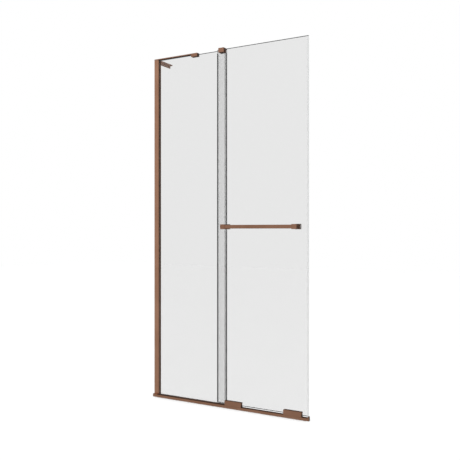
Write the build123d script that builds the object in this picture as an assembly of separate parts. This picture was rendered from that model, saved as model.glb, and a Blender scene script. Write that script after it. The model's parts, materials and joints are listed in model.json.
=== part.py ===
from build123d import *
import os

os.makedirs("parts", exist_ok=True)

# Sliding walk-in shower screen: a fixed glass pane beside the wall and a sliding pane in front of it.
# Units are millimetres and +Z is up. X runs along the screen, from the wall (-X) to the free end (+X).
# -Y is the side of the sliding pane and its handle. The origin is the middle of the rail's underside.

# Overall sizes
screen_length = 1000.0
screen_height = 2000.0
glass_thickness = 6.0

# Clearances
sliding_gap = 0.3
slip_gap = 0.1
thread_gap = 0.02
screw_tip_gap = 1.0
axle_clearance = 0.04

# Key recesses of all screws, as shares of the shank's radius and the head's height
socket_share = 0.6
socket_depth_share = 0.7

# Bottom rail and the strip that the rollers run on
rail_depth = 24.0
rail_height = 14.0
rail_wall = 1.8
rail_edge_radius = 0.8
strip_width = 2.4
strip_seat_depth = 2.0
strip_stand = 3.0
strip_seat_land = 6.0
strip_seat_height = 4.0
strip_offset = 7.5

# Ends of the rail
wall_cap_length = 30.0
wall_cap_height = 17.0
free_cap_length = 15.0
corner_guard_length = 7.0
cap_edge_radius = 1.0
cap_spigot_length = 12.0

# Channel under the fixed pane
channel_wall = 1.5
channel_floor = 2.0
channel_gasket = 1.0
channel_plug_length = 1.5
setting_block_height = 3.0
setting_block_length = 40.0
setting_block_inset = 70.0

# Wall post and the channel that it slides over
post_width = 30.0
post_depth = 28.0
post_wall = 1.6
post_cap_flange = 1.5
post_cap_plug = 12.0
pocket_wall = 1.4
pocket_depth = 18.5
pocket_gasket = 1.1
pocket_end_gap = 1.0
wall_channel_back = 2.0
wall_channel_leg = 1.5
wall_channel_reach = 20.0
wall_channel_top_gap = 18.0
wall_screw_radius = 2.75
wall_screw_edge = 100.0
wall_screw_count = 4
lock_screw_radius = 2.0
lock_screw_length = 4.6
lock_head_radius = 3.5
lock_head_height = 1.6
lock_screw_inset = 12.0
lock_screw_edge = 233.0

# Panes: where the fixed pane ends, and where the sliding pane stands when the screen is closed
fixed_middle_gap = 8.0
pane_gap = 11.5
pane_overlap = 50.0
sliding_right_inset = 7.0
sliding_bottom = 22.0
open_wall_gap = 42.0
pane_arris = 0.5

# Stabiliser: flat bar, end clamp and the angle along the wall
bar_thickness = 5.5
bar_rise = 1.0
bar_tongue_rim = 2.0
bar_tongue_length = 25.0
lap_thickness = 2.7
clamp_left = 260.0
clamp_length = 42.0
clamp_drop = 12.0
clamp_pad = 1.2
clamp_edge_radius = 1.2
clamp_screw_radius = 2.5
clamp_screw_spacing = 20.0
clamp_screw_drop = 7.0
angle_width = 20.0
angle_length = 133.0
angle_drop = 14.0
angle_flange = 4.0
angle_screw_first = 35.0
angle_screw_spacing = 70.0
bar_screw_radius = 2.0
bar_screw_head = 3.8
bar_screw_head_height = 2.2
bar_screw_grip = 10.0
bar_screw_edge = 6.8

# Guide clamp at the fixed pane's top corner
guide_length = 36.0
guide_inset = 2.0
guide_front = 28.0
guide_back = 13.0
guide_drop = 18.0
guide_rise = 7.0
guide_lining = 2.0
guide_pane_gap = 0.5
guide_roof_gap = 1.3
guide_lining_inset = 0.5
guide_screw_spacing = 18.0
guide_screw_drop = 8.0

# Edge seals
seal_wall = 0.9
seal_leg = 12.0
seal_tip = 1.0
fin_thickness = 0.9
fin_lean = 2.5
seal_top_gap = 20.0
leading_seal_leg = 8.0
leading_tip_width = 2.0
fixed_seal_bottom = 46.0
fin_notch_margin = 3.0

# Handle
handle_height = 1007.5
handle_inset_left = 61.0
handle_inset_right = 60.0
block_width = 29.5
block_height = 26.5
block_depth = 48.0
block_edge_radius = 1.0
bar_height = 20.0
bar_depth = 15.0
bar_recess = 1.5
bar_socket = 8.0
bar_edge_radius = 0.8
rear_plate_width = 32.0
rear_plate_height = 29.0
rear_plate_depth = 8.0
glass_gasket = 0.5
handle_hole_radius = 6.0
handle_screw_radius = 3.0
handle_screw_head = 5.6
handle_screw_head_height = 3.2
handle_screw_grip = 16.0
bush_clearance = 0.05
grub_radius = 2.0
grub_inset = 4.0

# Roller carriers
carrier_length = 104.0
carrier_inset_left = 52.0
carrier_inset_right = 36.0
carrier_lift = 1.0
carrier_height = 26.4
cover_lift = 0.6
cover_wall = 1.2
cover_edge_radius = 0.8
cover_notch_gap = 0.6
plate_thickness = 1.5
plate_flange = 1.2
carrier_back = 5.5
wheel_radius = 11.0
rolling_radius = 9.0
wheel_width = 4.4
wheel_end_inset = 16.0
bearing_radius = 5.5
bearing_width = 4.0
shield_depth = 0.3
shield_inner = 3.2
shield_outer = 4.8
axle_radius = 2.0
axle_head_radius = 3.0
axle_head = 0.8
axle_collar = 0.5
axle_play = 0.05
carrier_screw_spacing = 24.0
carrier_hole_height = 32.0
carrier_hole_radius = 4.0
carrier_screw_radius = 2.5
carrier_screw_head = 4.6
carrier_screw_head_height = 2.6
carrier_boss_radius = 4.5
carrier_boss_height = 5.0

# Travel stops beside the running strip
stop_length = 8.0
stop_height = 2.8
stop_screw_radius = 1.5
stop_screw_head = 2.8
stop_screw_head_height = 1.5
stop_screw_length = 7.0

# Planes that several pieces share
wall_x = -screen_length / 2
free_x = screen_length / 2
rail_front = -rail_depth / 2
rail_back = rail_depth / 2
rail_start = wall_x + wall_cap_length
rail_end = free_x - free_cap_length

slide_front = -glass_thickness / 2
slide_back = glass_thickness / 2
fixed_front = slide_back + pane_gap
fixed_back = fixed_front + glass_thickness
fixed_middle = (fixed_front + fixed_back) / 2
fixed_right = (wall_x + free_x) / 2 - fixed_middle_gap
fixed_left = wall_x + post_width - pocket_depth + pocket_end_gap
fixed_bottom = channel_floor + setting_block_height

slide_left = fixed_right - pane_overlap
slide_right = free_x - sliding_right_inset
slide_travel = slide_left - wall_x - open_wall_gap

channel_front = fixed_front - channel_gasket - channel_wall
channel_back = fixed_back + channel_gasket + channel_wall

post_front = fixed_middle - post_depth / 2
post_back = fixed_middle + post_depth / 2
post_right = wall_x + post_width
post_top = screen_height + bar_rise - post_cap_flange
bar_bottom = screen_height + bar_rise
bar_top = bar_bottom + bar_thickness

strip_y = -strip_offset
strip_top = rail_height + strip_stand
axle_z = strip_top + sliding_gap + rolling_radius


# Small shape helpers
def block(x0, x1, y0, y1, z0, z1):
    """A box from its low corner to its high corner."""
    middle = Pos((x0 + x1) / 2, (y0 + y1) / 2, (z0 + z1) / 2)
    return middle * Box(x1 - x0, y1 - y0, z1 - z0)


def rod_y(x, z, radius, y0, y1):
    """A round rod along Y."""
    return Pos(x, (y0 + y1) / 2, z) * Rot(90, 0, 0) * Cylinder(radius, y1 - y0)


def rod_z(x, y, radius, z0, z1):
    """A round rod along Z."""
    return Pos(x, y, (z0 + z1) / 2) * Cylinder(radius, z1 - z0)


def round_edges(shape, axis, radius):
    """Rounds the outer edges that run along one axis."""
    return fillet(shape.edges().filter_by(axis), radius)


def upright(points, z0, z1):
    """A vertical prism on a closed outline in plan."""
    outline = make_face(Polyline(*points, close=True))
    return extrude(Pos(0, 0, z0) * outline, z1 - z0)


def hexagon_socket(radius, head_height):
    """The recess for a hexagon key, from the head's face down."""
    return extrude(RegularPolygon(radius * socket_share, 6), -head_height * socket_depth_share)


def countersunk_y(x, z, y_face, y_tip, radius, head_radius, head_height):
    """A countersunk screw that is driven towards -Y, with its flat head at y_face."""
    turn = Rot(-90, 0, 0)
    shank = rod_y(x, z, radius, y_tip, y_face)
    head = Pos(x, y_face - head_height / 2, z) * turn * Cone(radius, head_radius, head_height)
    socket = Pos(x, y_face, z) * turn * hexagon_socket(radius, head_height)
    return shank + head - socket


def countersunk_z(x, y, z_face, z_tip, radius, head_radius, head_height):
    """A countersunk screw that is driven downwards, with its flat head at z_face."""
    shank = rod_z(x, y, radius, z_tip, z_face)
    head = Pos(x, y, z_face - head_height / 2) * Cone(radius, head_radius, head_height)
    socket = Pos(x, y, z_face) * hexagon_socket(radius, head_height)
    return shank + head - socket


def save(name, *shapes):
    """Writes one piece, or a group of like pieces, under its own name."""
    solids = [solid for shape in shapes for solid in shape.solids()]
    whole = solids[0] if len(solids) == 1 else Compound(solids)
    export_step(whole, f"parts/{name}.step")


# Bottom rail
def bottom_rail():
    """The extruded rail, hollow inside, with a thick land that seats the running strip."""
    rail = block(rail_start, rail_end, rail_front, rail_back, 0, rail_height)
    top_edges = rail.edges().filter_by(Axis.X).group_by(Axis.Z)[-1]
    rail = fillet(top_edges, rail_edge_radius)
    rail -= block(rail_start, rail_end, rail_front + rail_wall, rail_back - rail_wall,
                  rail_wall, rail_height - rail_wall)
    half_land = strip_seat_land / 2
    rail += block(rail_start, rail_end, strip_y - half_land, strip_y + half_land,
                  rail_height - strip_seat_height, rail_height)
    rail -= block(rail_start, rail_end, strip_y - strip_width / 2, strip_y + strip_width / 2,
                  rail_height - strip_seat_depth, rail_height)
    for x in stop_screw_places():
        rail -= rod_z(x, stop_middle_y, stop_screw_radius + thread_gap, rail_height - rail_wall, rail_height)
    return rail


def running_strip():
    """The steel strip that stands in the rail's groove, with a rounded top."""
    half = strip_width / 2
    low = rail_height - strip_seat_depth
    shoulder = strip_top - half
    side_up = Line((strip_y - half, low), (strip_y - half, shoulder))
    crown = ThreePointArc((strip_y - half, shoulder), (strip_y, strip_top), (strip_y + half, shoulder))
    side_down = Polyline((strip_y + half, shoulder), (strip_y + half, low), (strip_y - half, low))
    section = make_face(side_up + crown + side_down)
    return extrude(Plane.YZ.offset(rail_start) * section, rail_end - rail_start)


def rail_spigot(x0, x1):
    """The part of an end cap that plugs the rail's hollow, under the strip's land."""
    inner = rail_wall + slip_gap
    return block(x0, x1, rail_front + inner, rail_back - inner, inner,
                 rail_height - strip_seat_height - slip_gap)


def wall_end_cap():
    """The foot under the wall post, with a slot for the fixed pane's lower corner."""
    cap = block(wall_x, rail_start, rail_front, post_back, 0, wall_cap_height)
    cap = round_edges(cap, Axis.Z, cap_edge_radius)
    cap += rail_spigot(rail_start, rail_start + cap_spigot_length)
    cap -= block(fixed_left - slip_gap, rail_start, fixed_front - channel_gasket,
                 fixed_back + channel_gasket, fixed_bottom - slip_gap, wall_cap_height)
    return cap


def free_end_cap():
    """The cap at the free end, with a low upright guard in front of the glass corner."""
    cap = block(rail_end, free_x, rail_front, rail_back, 0, rail_height)
    guard_top = sliding_bottom - cover_lift
    cap += block(free_x - corner_guard_length, free_x, rail_front, rail_back, 0, guard_top)
    free_corners = cap.edges().filter_by(Axis.Z).group_by(Axis.X)[-1]
    cap = fillet(free_corners, cap_edge_radius)
    cap += rail_spigot(rail_end - cap_spigot_length, rail_end)
    return cap


# Fixed pane, its bottom channel and its post
def glass_channel():
    """The U channel behind the rail that holds the fixed pane's bottom edge."""
    channel = block(rail_start, fixed_right, channel_front, channel_back, 0, rail_height)
    channel -= block(rail_start, fixed_right, channel_front + channel_wall,
                     channel_back - channel_wall, channel_floor, rail_height)
    return channel


def channel_end_plug():
    """The flat plug that closes the channel at the fixed pane's free edge."""
    plug = block(fixed_right, fixed_right + channel_plug_length, channel_front, channel_back,
                 0, rail_height)
    return round_edges(plug, Axis.X, cap_edge_radius)


def setting_blocks():
    """Two pads that carry the fixed pane in its channel."""
    blocks = []
    for x in (rail_start + setting_block_inset, fixed_right - setting_block_inset):
        blocks.append(block(x - setting_block_length / 2, x + setting_block_length / 2,
                            fixed_front, fixed_back, channel_floor, fixed_bottom))
    return blocks


def channel_gaskets():
    """The two glazing strips between the channel and the glass."""
    low = fixed_bottom
    front = block(rail_start, fixed_right, fixed_front - channel_gasket, fixed_front, low, rail_height)
    back = block(rail_start, fixed_right, fixed_back, fixed_back + channel_gasket, low, rail_height)
    return front, back


def glass_sheet(x0, x1, y0, y1, z0, z1):
    """A sheet of glass with small ground bevels round both faces."""
    return chamfer(block(x0, x1, y0, y1, z0, z1).edges(), pane_arris)


def fixed_pane():
    """The fixed sheet of clear glass, from inside the post to its free edge."""
    return glass_sheet(fixed_left, fixed_right, fixed_front, fixed_back, fixed_bottom, screen_height)


def wall_screw_heights():
    """Heights of the screw holes in the wall channel."""
    spacing = (screen_height - 2 * wall_screw_edge) / (wall_screw_count - 1)
    return [wall_screw_edge + step * spacing for step in range(wall_screw_count)]


def lock_screw_heights():
    """Heights of the screws that lock the post to the wall channel."""
    low = wall_cap_height + lock_screw_edge
    high = post_top - lock_screw_edge
    return [low, (low + high) / 2, high]


def wall_channel():
    """The channel that is screwed to the wall inside the post."""
    gap = post_wall + 2 * slip_gap
    y0 = post_front + gap
    y1 = post_back - gap
    top = post_top - wall_channel_top_gap
    channel = block(wall_x, wall_x + wall_channel_reach, y0, y1, wall_cap_height, top)
    channel -= block(wall_x + wall_channel_back, wall_x + wall_channel_reach,
                     y0 + wall_channel_leg, y1 - wall_channel_leg, wall_cap_height, top)
    for z in wall_screw_heights():
        hole = Pos(wall_x + wall_channel_back / 2, fixed_middle, z) * Rot(0, 90, 0)
        channel -= hole * Cylinder(wall_screw_radius, wall_channel_back)
    for z in lock_screw_heights():
        channel -= rod_y(wall_x + lock_screw_inset, z, lock_screw_radius + thread_gap,
                         y1 - wall_channel_leg, y1)
    return channel


def wall_post():
    """The post: an open shell over the wall channel, with a deep pocket for the glass."""
    back_cut = post_right - post_wall
    post = block(wall_x, post_right, post_front, post_back, wall_cap_height, post_top)
    post = fillet(post.edges().filter_by(Axis.Z).group_by(Axis.X)[-1], cap_edge_radius)
    post -= block(wall_x, back_cut, post_front + post_wall, post_back - post_wall,
                  wall_cap_height, post_top)
    slot_front = fixed_front - pocket_gasket
    slot_back = fixed_back + pocket_gasket
    pocket_floor = post_right - pocket_depth
    post += block(pocket_floor - pocket_wall, back_cut, slot_front - pocket_wall,
                  slot_back + pocket_wall, wall_cap_height, post_top)
    post -= block(pocket_floor, post_right, slot_front, slot_back, wall_cap_height, post_top)
    for z in lock_screw_heights():
        post -= rod_y(wall_x + lock_screw_inset, z, lock_screw_radius + slip_gap,
                      post_back - post_wall, post_back)
    return post


def post_gaskets():
    """The two strips that grip the glass in the post's pocket."""
    x0 = post_right - pocket_depth
    front = block(x0, post_right, fixed_front - pocket_gasket, fixed_front, wall_cap_height, post_top)
    back = block(x0, post_right, fixed_back, fixed_back + pocket_gasket, wall_cap_height, post_top)
    return front, back


def post_top_cap():
    """The plug in the open top of the post, cut away over the glass."""
    cap = block(wall_x, post_right, post_front, post_back, post_top, bar_bottom)
    cap = fillet(cap.edges().filter_by(Axis.Z).group_by(Axis.X)[-1], cap_edge_radius)
    inner = post_wall + slip_gap
    pocket_back = post_right - pocket_depth - pocket_wall - slip_gap
    cap += block(wall_x + slip_gap, pocket_back, post_front + inner, post_back - inner,
                 post_top - post_cap_plug, post_top)
    cap -= block(fixed_left - slip_gap, post_right, fixed_front - slip_gap, fixed_back + slip_gap,
                 post_top, screen_height)
    return cap


def post_locking_screws():
    """Three pan head screws through the inner side of the post into the wall channel."""
    screws = []
    x = wall_x + lock_screw_inset
    for z in lock_screw_heights():
        shank = rod_y(x, z, lock_screw_radius, post_back - lock_screw_length, post_back)
        head = rod_y(x, z, lock_head_radius, post_back, post_back + lock_head_height)
        head = fillet(head.edges().group_by(Axis.Y)[-1], lock_head_height / 3)
        socket = rod_y(x, z, lock_screw_radius * socket_share, post_back + lock_head_height / 3,
                       post_back + lock_head_height)
        screws.append(shank + head - socket)
    return screws


# Stabiliser over the fixed pane
clamp_x0 = wall_x + clamp_left
clamp_x1 = clamp_x0 + clamp_length
clamp_bottom = screen_height - clamp_drop
lap_end = wall_x + angle_width
lap_top = bar_bottom + lap_thickness
tongue_end = clamp_x0 + bar_tongue_length
tongue_front = post_front + bar_tongue_rim
tongue_back = post_back - bar_tongue_rim


def bar_wall_screw_places():
    """Screws through the bar into the wall angle's tongue."""
    x = (wall_x + lap_end) / 2
    return [(x, post_front + bar_screw_edge), (x, post_back - bar_screw_edge)]


def bar_clamp_screw_places():
    """Screws through the bar's tongue into the jaws of the end clamp."""
    x = (clamp_x0 + tongue_end) / 2
    return [(x, post_front + bar_screw_edge), (x, post_back - bar_screw_edge)]


def countersink(x, y, z_face, z_low):
    """The hole for one of the bar's countersunk screws."""
    hole = rod_z(x, y, bar_screw_radius + thread_gap, z_low, z_face)
    sink = Cone(bar_screw_radius + thread_gap, bar_screw_head + thread_gap, bar_screw_head_height)
    return hole + Pos(x, y, z_face - bar_screw_head_height / 2) * sink


def stabiliser_bar():
    """The flat bar from the wall to its clamp, half-lapped over the wall angle's tongue."""
    bar = block(wall_x, clamp_x0, post_front, post_back, bar_bottom, bar_top)
    bar += block(clamp_x0, tongue_end, tongue_front, tongue_back, bar_bottom, bar_top)
    bar -= block(wall_x, lap_end, post_front, post_back, bar_bottom, lap_top)
    for x, y in bar_wall_screw_places() + bar_clamp_screw_places():
        bar -= countersink(x, y, bar_top, bar_bottom)
    return bar


def wall_angle():
    """The angle along the wall behind the post, with two wall screw holes and a lap tongue."""
    back = post_back + angle_length
    angle = block(wall_x, lap_end, post_back, back, bar_bottom, bar_top)
    angle += block(wall_x, wall_x + angle_flange, post_back, back,
                   screen_height - angle_drop, bar_bottom)
    angle += block(wall_x, lap_end, post_front, post_back, bar_bottom, lap_top)
    z = screen_height - angle_drop / 2
    for step in range(2):
        y = post_back + angle_screw_first + step * angle_screw_spacing
        hole = Pos(wall_x + angle_flange / 2, y, z) * Rot(0, 90, 0)
        angle -= hole * Cylinder(wall_screw_radius, angle_flange)
    for x, y in bar_wall_screw_places():
        angle -= rod_z(x, y, bar_screw_radius + thread_gap, bar_bottom, lap_top)
    return angle


def bar_screws():
    """Four countersunk screws: two at the wall angle and two at the end clamp."""
    screws = []
    for x, y in bar_wall_screw_places():
        screws.append(countersunk_z(x, y, bar_top, bar_bottom, bar_screw_radius, bar_screw_head,
                                    bar_screw_head_height))
    for x, y in bar_clamp_screw_places():
        screws.append(countersunk_z(x, y, bar_top, bar_top - bar_screw_grip, bar_screw_radius,
                                    bar_screw_head, bar_screw_head_height))
    return screws


jaw_front = fixed_front - clamp_pad
jaw_back = fixed_back + clamp_pad
clamp_middle = (clamp_x0 + clamp_x1) / 2
clamp_screw_z = screen_height - clamp_screw_drop
stabiliser_screw_places = [clamp_middle - clamp_screw_spacing / 2,
                           clamp_middle + clamp_screw_spacing / 2]


def stabiliser_clamp():
    """The block that grips the fixed pane's top edge and takes the end of the bar."""
    clamp = block(clamp_x0, clamp_x1, post_front, post_back, clamp_bottom, bar_top)
    clamp = round_edges(clamp, Axis.Z, clamp_edge_radius)
    clamp -= block(clamp_x0, clamp_x1, jaw_front, jaw_back, clamp_bottom, bar_bottom)
    clamp -= block(clamp_x0, tongue_end, tongue_front, tongue_back, bar_bottom, bar_top)
    for x, y in bar_clamp_screw_places():
        clamp -= rod_z(x, y, bar_screw_radius + thread_gap, bar_top - bar_screw_grip, bar_top)
    for x in stabiliser_screw_places:
        clamp -= rod_y(x, clamp_screw_z, clamp_screw_radius + thread_gap, jaw_back, post_back)
    return clamp


def glass_pad(x0, x1, z0):
    """A soft U-shaped pad between a clamp and the top edge of the fixed pane."""
    pad = block(x0, x1, jaw_front, jaw_back, z0, bar_bottom)
    return pad - block(x0, x1, fixed_front, fixed_back, z0, screen_height)


def grub_y(x, z, radius, y0, y1):
    """A grub screw along Y with a hexagon socket in its outer end, at y1."""
    grub = rod_y(x, z, radius, y0, y1)
    socket = Pos(x, y1, z) * Rot(-90, 0, 0) * extrude(RegularPolygon(radius * socket_share, 6), -radius)
    return grub - socket


# Guide clamp at the fixed pane's top corner
guide_x1 = fixed_right - guide_inset
guide_x0 = guide_x1 - guide_length
guide_y0 = fixed_front - guide_front
guide_y1 = fixed_front + guide_back
guide_bottom = screen_height - guide_drop
guide_top = screen_height + guide_rise
lining_outer = slide_back + guide_pane_gap + guide_lining
lining_inner = slide_back + guide_pane_gap
lining_roof = screen_height + guide_roof_gap
guide_middle = (guide_x0 + guide_x1) / 2
guide_screw_z = screen_height - guide_screw_drop
guide_screw_places = [guide_middle - guide_screw_spacing / 2, guide_middle + guide_screw_spacing / 2]


def guide_clamp():
    """The block on the fixed pane's corner, with a second slot for the sliding pane's top edge."""
    clamp = block(guide_x0, guide_x1, guide_y0, guide_y1, guide_bottom, guide_top)
    clamp = fillet(clamp.edges(), clamp_edge_radius)
    clamp -= block(guide_x0, guide_x1, jaw_front, jaw_back, guide_bottom, bar_bottom)
    clamp -= block(guide_x0, guide_x1, -lining_outer, lining_outer, guide_bottom,
                   lining_roof + guide_lining)
    for x in guide_screw_places:
        clamp -= rod_y(x, guide_screw_z, clamp_screw_radius + thread_gap, jaw_back, guide_y1)
    return clamp


def guide_insert():
    """The slippery lining of the slot that the sliding pane's top edge runs in."""
    x0 = guide_x0 + guide_lining_inset
    x1 = guide_x1 - guide_lining_inset
    low = guide_bottom + guide_lining_inset
    lining = block(x0, x1, -lining_outer, lining_outer, low, lining_roof + guide_lining)
    return lining - block(x0, x1, -lining_inner, lining_inner, low, lining_roof)


# Seals
seal_top = screen_height - seal_top_gap


def fixed_edge_seal():
    """The clip on the fixed pane's free edge, with a fin that reaches to the sliding pane.

    The fin is cut away at the height of the handle's rear plates, which pass it."""
    x0 = fixed_right - seal_leg
    x1 = fixed_right + seal_tip
    seal = block(x0, x1, fixed_front - seal_wall, fixed_back + seal_wall, fixed_seal_bottom, seal_top)
    seal -= block(x0, fixed_right, fixed_front, fixed_back, fixed_seal_bottom, seal_top)
    root = fixed_front - seal_wall
    tip = slide_back + sliding_gap
    fin = upright([(x1 - fin_thickness, root + seal_wall / 2), (x1, root + seal_wall / 2), (x1, root),
                   (x1 + fin_lean, tip), (x1 + fin_lean - fin_thickness, tip),
                   (x1 - fin_thickness, root)], fixed_seal_bottom, seal_top)
    half_notch = rear_plate_height / 2 + fin_notch_margin
    fin -= block(x0, x1 + 2 * fin_lean, tip - 1, root, handle_height - half_notch,
                 handle_height + half_notch)
    return seal + fin


def trailing_edge_seal():
    """The clip on the sliding pane's wall-side edge, with a fin that reaches to the fixed pane."""
    x0 = slide_left - seal_tip
    x1 = x0 + seal_leg
    seal = block(x0, x1, slide_front - seal_wall, slide_back + seal_wall, sliding_bottom, seal_top)
    seal -= block(slide_left, x1, slide_front, slide_back, sliding_bottom, seal_top)
    root = slide_back + seal_wall
    tip = fixed_front - sliding_gap
    fin = upright([(x0, root - seal_wall / 2), (x0 + fin_thickness, root - seal_wall / 2),
                   (x0 + fin_thickness, root), (x0 + fin_lean + fin_thickness, tip),
                   (x0 + fin_lean, tip), (x0, root)], sliding_bottom, seal_top)
    return seal + fin


def leading_edge_seal():
    """The clear clip and soft nose on the sliding pane's free edge."""
    x0 = slide_right - leading_seal_leg
    x1 = slide_right + seal_tip
    low = sliding_bottom + 2 * seal_tip
    seal = block(x0, x1, slide_front - seal_wall, slide_back + seal_wall, low, screen_height)
    seal -= block(x0, slide_right, slide_front, slide_back, low, screen_height)
    half_tip = leading_tip_width / 2
    nose = upright([(x1, slide_front), (free_x, -half_tip), (free_x, half_tip), (x1, slide_back)],
                   low, screen_height)
    return seal + nose


# Handle
handle_xs = [slide_left + handle_inset_left, slide_right - handle_inset_right]
block_back = slide_front - glass_gasket
block_front = block_back - block_depth
bar_front = block_front + bar_recess
bar_rear = bar_front + bar_depth
bar_x0 = handle_xs[0] + block_width / 2 - bar_socket
bar_x1 = handle_xs[1] - block_width / 2 + bar_socket
rear_face = slide_back + glass_gasket
plate_rear = rear_face + rear_plate_depth
block_bottom = handle_height - block_height / 2
grub_xs = [bar_x0 + grub_inset, bar_x1 - grub_inset]


def handle_bar():
    """The square bar between the two blocks, let into both."""
    bar = block(bar_x0, bar_x1, bar_front, bar_rear, handle_height - bar_height / 2,
                handle_height + bar_height / 2)
    return round_edges(bar, Axis.X, bar_edge_radius)


def handle_block(x, grub_x, inward):
    """One end block of the handle: socket for the bar, screw hole behind, grub hole below."""
    body = block(x - block_width / 2, x + block_width / 2, block_front, block_back,
                 block_bottom, block_bottom + block_height)
    body = fillet(body.edges(), block_edge_radius)
    mouth = x + inward * block_width / 2
    deep = mouth - inward * (bar_socket + slip_gap)
    body -= block(min(mouth, deep), max(mouth, deep), bar_front - slip_gap, bar_rear + slip_gap,
                  handle_height - bar_height / 2 - slip_gap, handle_height + bar_height / 2 + slip_gap)
    body -= rod_y(x, handle_height, handle_screw_radius + thread_gap,
                  block_back - handle_screw_grip, block_back)
    body -= rod_z(grub_x, (bar_front + bar_rear) / 2, grub_radius + thread_gap, block_bottom,
                  handle_height - bar_height / 2)
    return body


def handle_bushes():
    """Nylon sleeves in the handle's holes through the glass."""
    sleeves = []
    for x in handle_xs:
        sleeve = rod_y(x, handle_height, handle_hole_radius - bush_clearance, slide_front, slide_back)
        sleeves.append(sleeve - rod_y(x, handle_height, handle_screw_radius + slip_gap,
                                      slide_front, slide_back))
    return sleeves


def handle_gaskets():
    """Thin pads on both sides of the glass, under the blocks and the rear plates."""
    pads = []
    for x in handle_xs:
        front = block(x - block_width / 2 + block_edge_radius, x + block_width / 2 - block_edge_radius,
                      block_back, slide_front, block_bottom + block_edge_radius,
                      block_bottom + block_height - block_edge_radius)
        rear = block(x - rear_plate_width / 2, x + rear_plate_width / 2, slide_back, rear_face,
                     handle_height - rear_plate_height / 2, handle_height + rear_plate_height / 2)
        for pad in (front, rear):
            pads.append(pad - rod_y(x, handle_height, handle_screw_radius + slip_gap,
                                    block_back, rear_face))
    return pads


def handle_rear_plates():
    """The plates behind the glass that the handle's screws pull against."""
    plates = []
    for x in handle_xs:
        plate = block(x - rear_plate_width / 2, x + rear_plate_width / 2, rear_face, plate_rear,
                      handle_height - rear_plate_height / 2, handle_height + rear_plate_height / 2)
        plate = round_edges(plate, Axis.Y, block_edge_radius)
        plate -= rod_y(x, handle_height, handle_screw_radius + slip_gap, rear_face, plate_rear)
        sink = Cone(handle_screw_radius + thread_gap, handle_screw_head + thread_gap,
                    handle_screw_head_height)
        plate -= (Pos(x, plate_rear - handle_screw_head_height / 2, handle_height)
                  * Rot(-90, 0, 0) * sink)
        plates.append(plate)
    return plates


def handle_screws():
    """Two countersunk screws from the rear plates through the glass into the blocks."""
    tip = block_back - handle_screw_grip + screw_tip_gap
    return [countersunk_y(x, handle_height, plate_rear, tip,
                          handle_screw_radius, handle_screw_head, handle_screw_head_height)
            for x in handle_xs]


def handle_grub_screws():
    """Two grub screws under the blocks that lock the bar."""
    screws = []
    for x in grub_xs:
        y = (bar_front + bar_rear) / 2
        grub = rod_z(x, y, grub_radius, block_bottom, handle_height - bar_height / 2)
        socket = Pos(x, y, block_bottom) * extrude(RegularPolygon(grub_radius * socket_share, 6),
                                                   grub_radius)
        screws.append(grub - socket)
    return screws


# Roller carriers
carrier_x0s = [slide_left + carrier_inset_left, slide_right - carrier_inset_right - carrier_length]
carrier_middles = [x + carrier_length / 2 for x in carrier_x0s]
carrier_bottom = rail_height + carrier_lift
carrier_top = rail_height + cover_lift + carrier_height
plate_back = slide_front - glass_gasket
plate_front = plate_back - plate_thickness
plate_end_gap = cover_wall + sliding_gap
bearing_back = plate_front - axle_collar
bearing_front = bearing_back - bearing_width
wheel_y = (bearing_front + bearing_back) / 2
cover_back = slide_front - sliding_gap
rear_plate_back = slide_back + glass_gasket + carrier_back
flange_top = carrier_top - cover_wall - sliding_gap


def wheel_xs_of(x0):
    """Places of one carrier's two wheels along X."""
    return [x0 + wheel_end_inset, x0 + carrier_length - wheel_end_inset]


def wheel_xs():
    """Places of the four wheels along X."""
    return [x for x0 in carrier_x0s for x in wheel_xs_of(x0)]


def carrier_screw_xs():
    """Places of the four screws along X."""
    return [middle + side * carrier_screw_spacing / 2 for middle in carrier_middles for side in (-1, 1)]


def carrier_plate(x0):
    """The angle plate that carries two wheels and takes two screws in its bosses."""
    left = x0 + plate_end_gap
    right = x0 + carrier_length - plate_end_gap
    plate = block(left, right, plate_front, plate_back, carrier_bottom, flange_top)
    plate += block(left, right, bearing_front - axle_head, plate_back,
                   flange_top - plate_flange, flange_top)
    middle = x0 + carrier_length / 2
    for side in (-1, 1):
        x = middle + side * carrier_screw_spacing / 2
        plate += rod_y(x, carrier_hole_height, carrier_boss_radius, plate_front - carrier_boss_height,
                       plate_front)
        plate -= rod_y(x, carrier_hole_height, carrier_screw_radius + thread_gap,
                       plate_front - carrier_boss_height, plate_back)
    for x in wheel_xs_of(x0):
        plate -= rod_y(x, axle_z, axle_radius + thread_gap, plate_front, plate_back)
    return plate


def carrier_cover(x0):
    """The front cover of one carrier, open behind and below, notched over the running strip."""
    x1 = x0 + carrier_length
    low = rail_height + cover_lift
    cover = block(x0, x1, rail_front, cover_back, low, carrier_top)
    front_edges = cover.edges().group_by(Axis.Y)[0]
    cover = fillet(front_edges, cover_edge_radius)
    cover -= block(x0 + cover_wall, x1 - cover_wall, rail_front + cover_wall, cover_back,
                   low, carrier_top - cover_wall)
    notch_front = strip_y - strip_width / 2 - cover_notch_gap
    cover -= block(x0, x1, notch_front, cover_back, low, strip_top + cover_notch_gap)
    return cover


def carrier_rear_plates():
    """The clamp plates behind the glass, one for each carrier."""
    plates = []
    for x0 in carrier_x0s:
        plate = block(x0, x0 + carrier_length, slide_back + glass_gasket, rear_plate_back,
                      carrier_bottom, carrier_top)
        plate = fillet(plate.edges().group_by(Axis.Y)[-1], cover_edge_radius)
        for side in (-1, 1):
            x = x0 + carrier_length / 2 + side * carrier_screw_spacing / 2
            plate -= rod_y(x, carrier_hole_height, carrier_screw_radius + slip_gap,
                           slide_back + glass_gasket, rear_plate_back)
            sink = Cone(carrier_screw_radius + thread_gap, carrier_screw_head + thread_gap,
                        carrier_screw_head_height)
            plate -= (Pos(x, rear_plate_back - carrier_screw_head_height / 2, carrier_hole_height)
                      * Rot(-90, 0, 0) * sink)
        plates.append(plate)
    return plates


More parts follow.
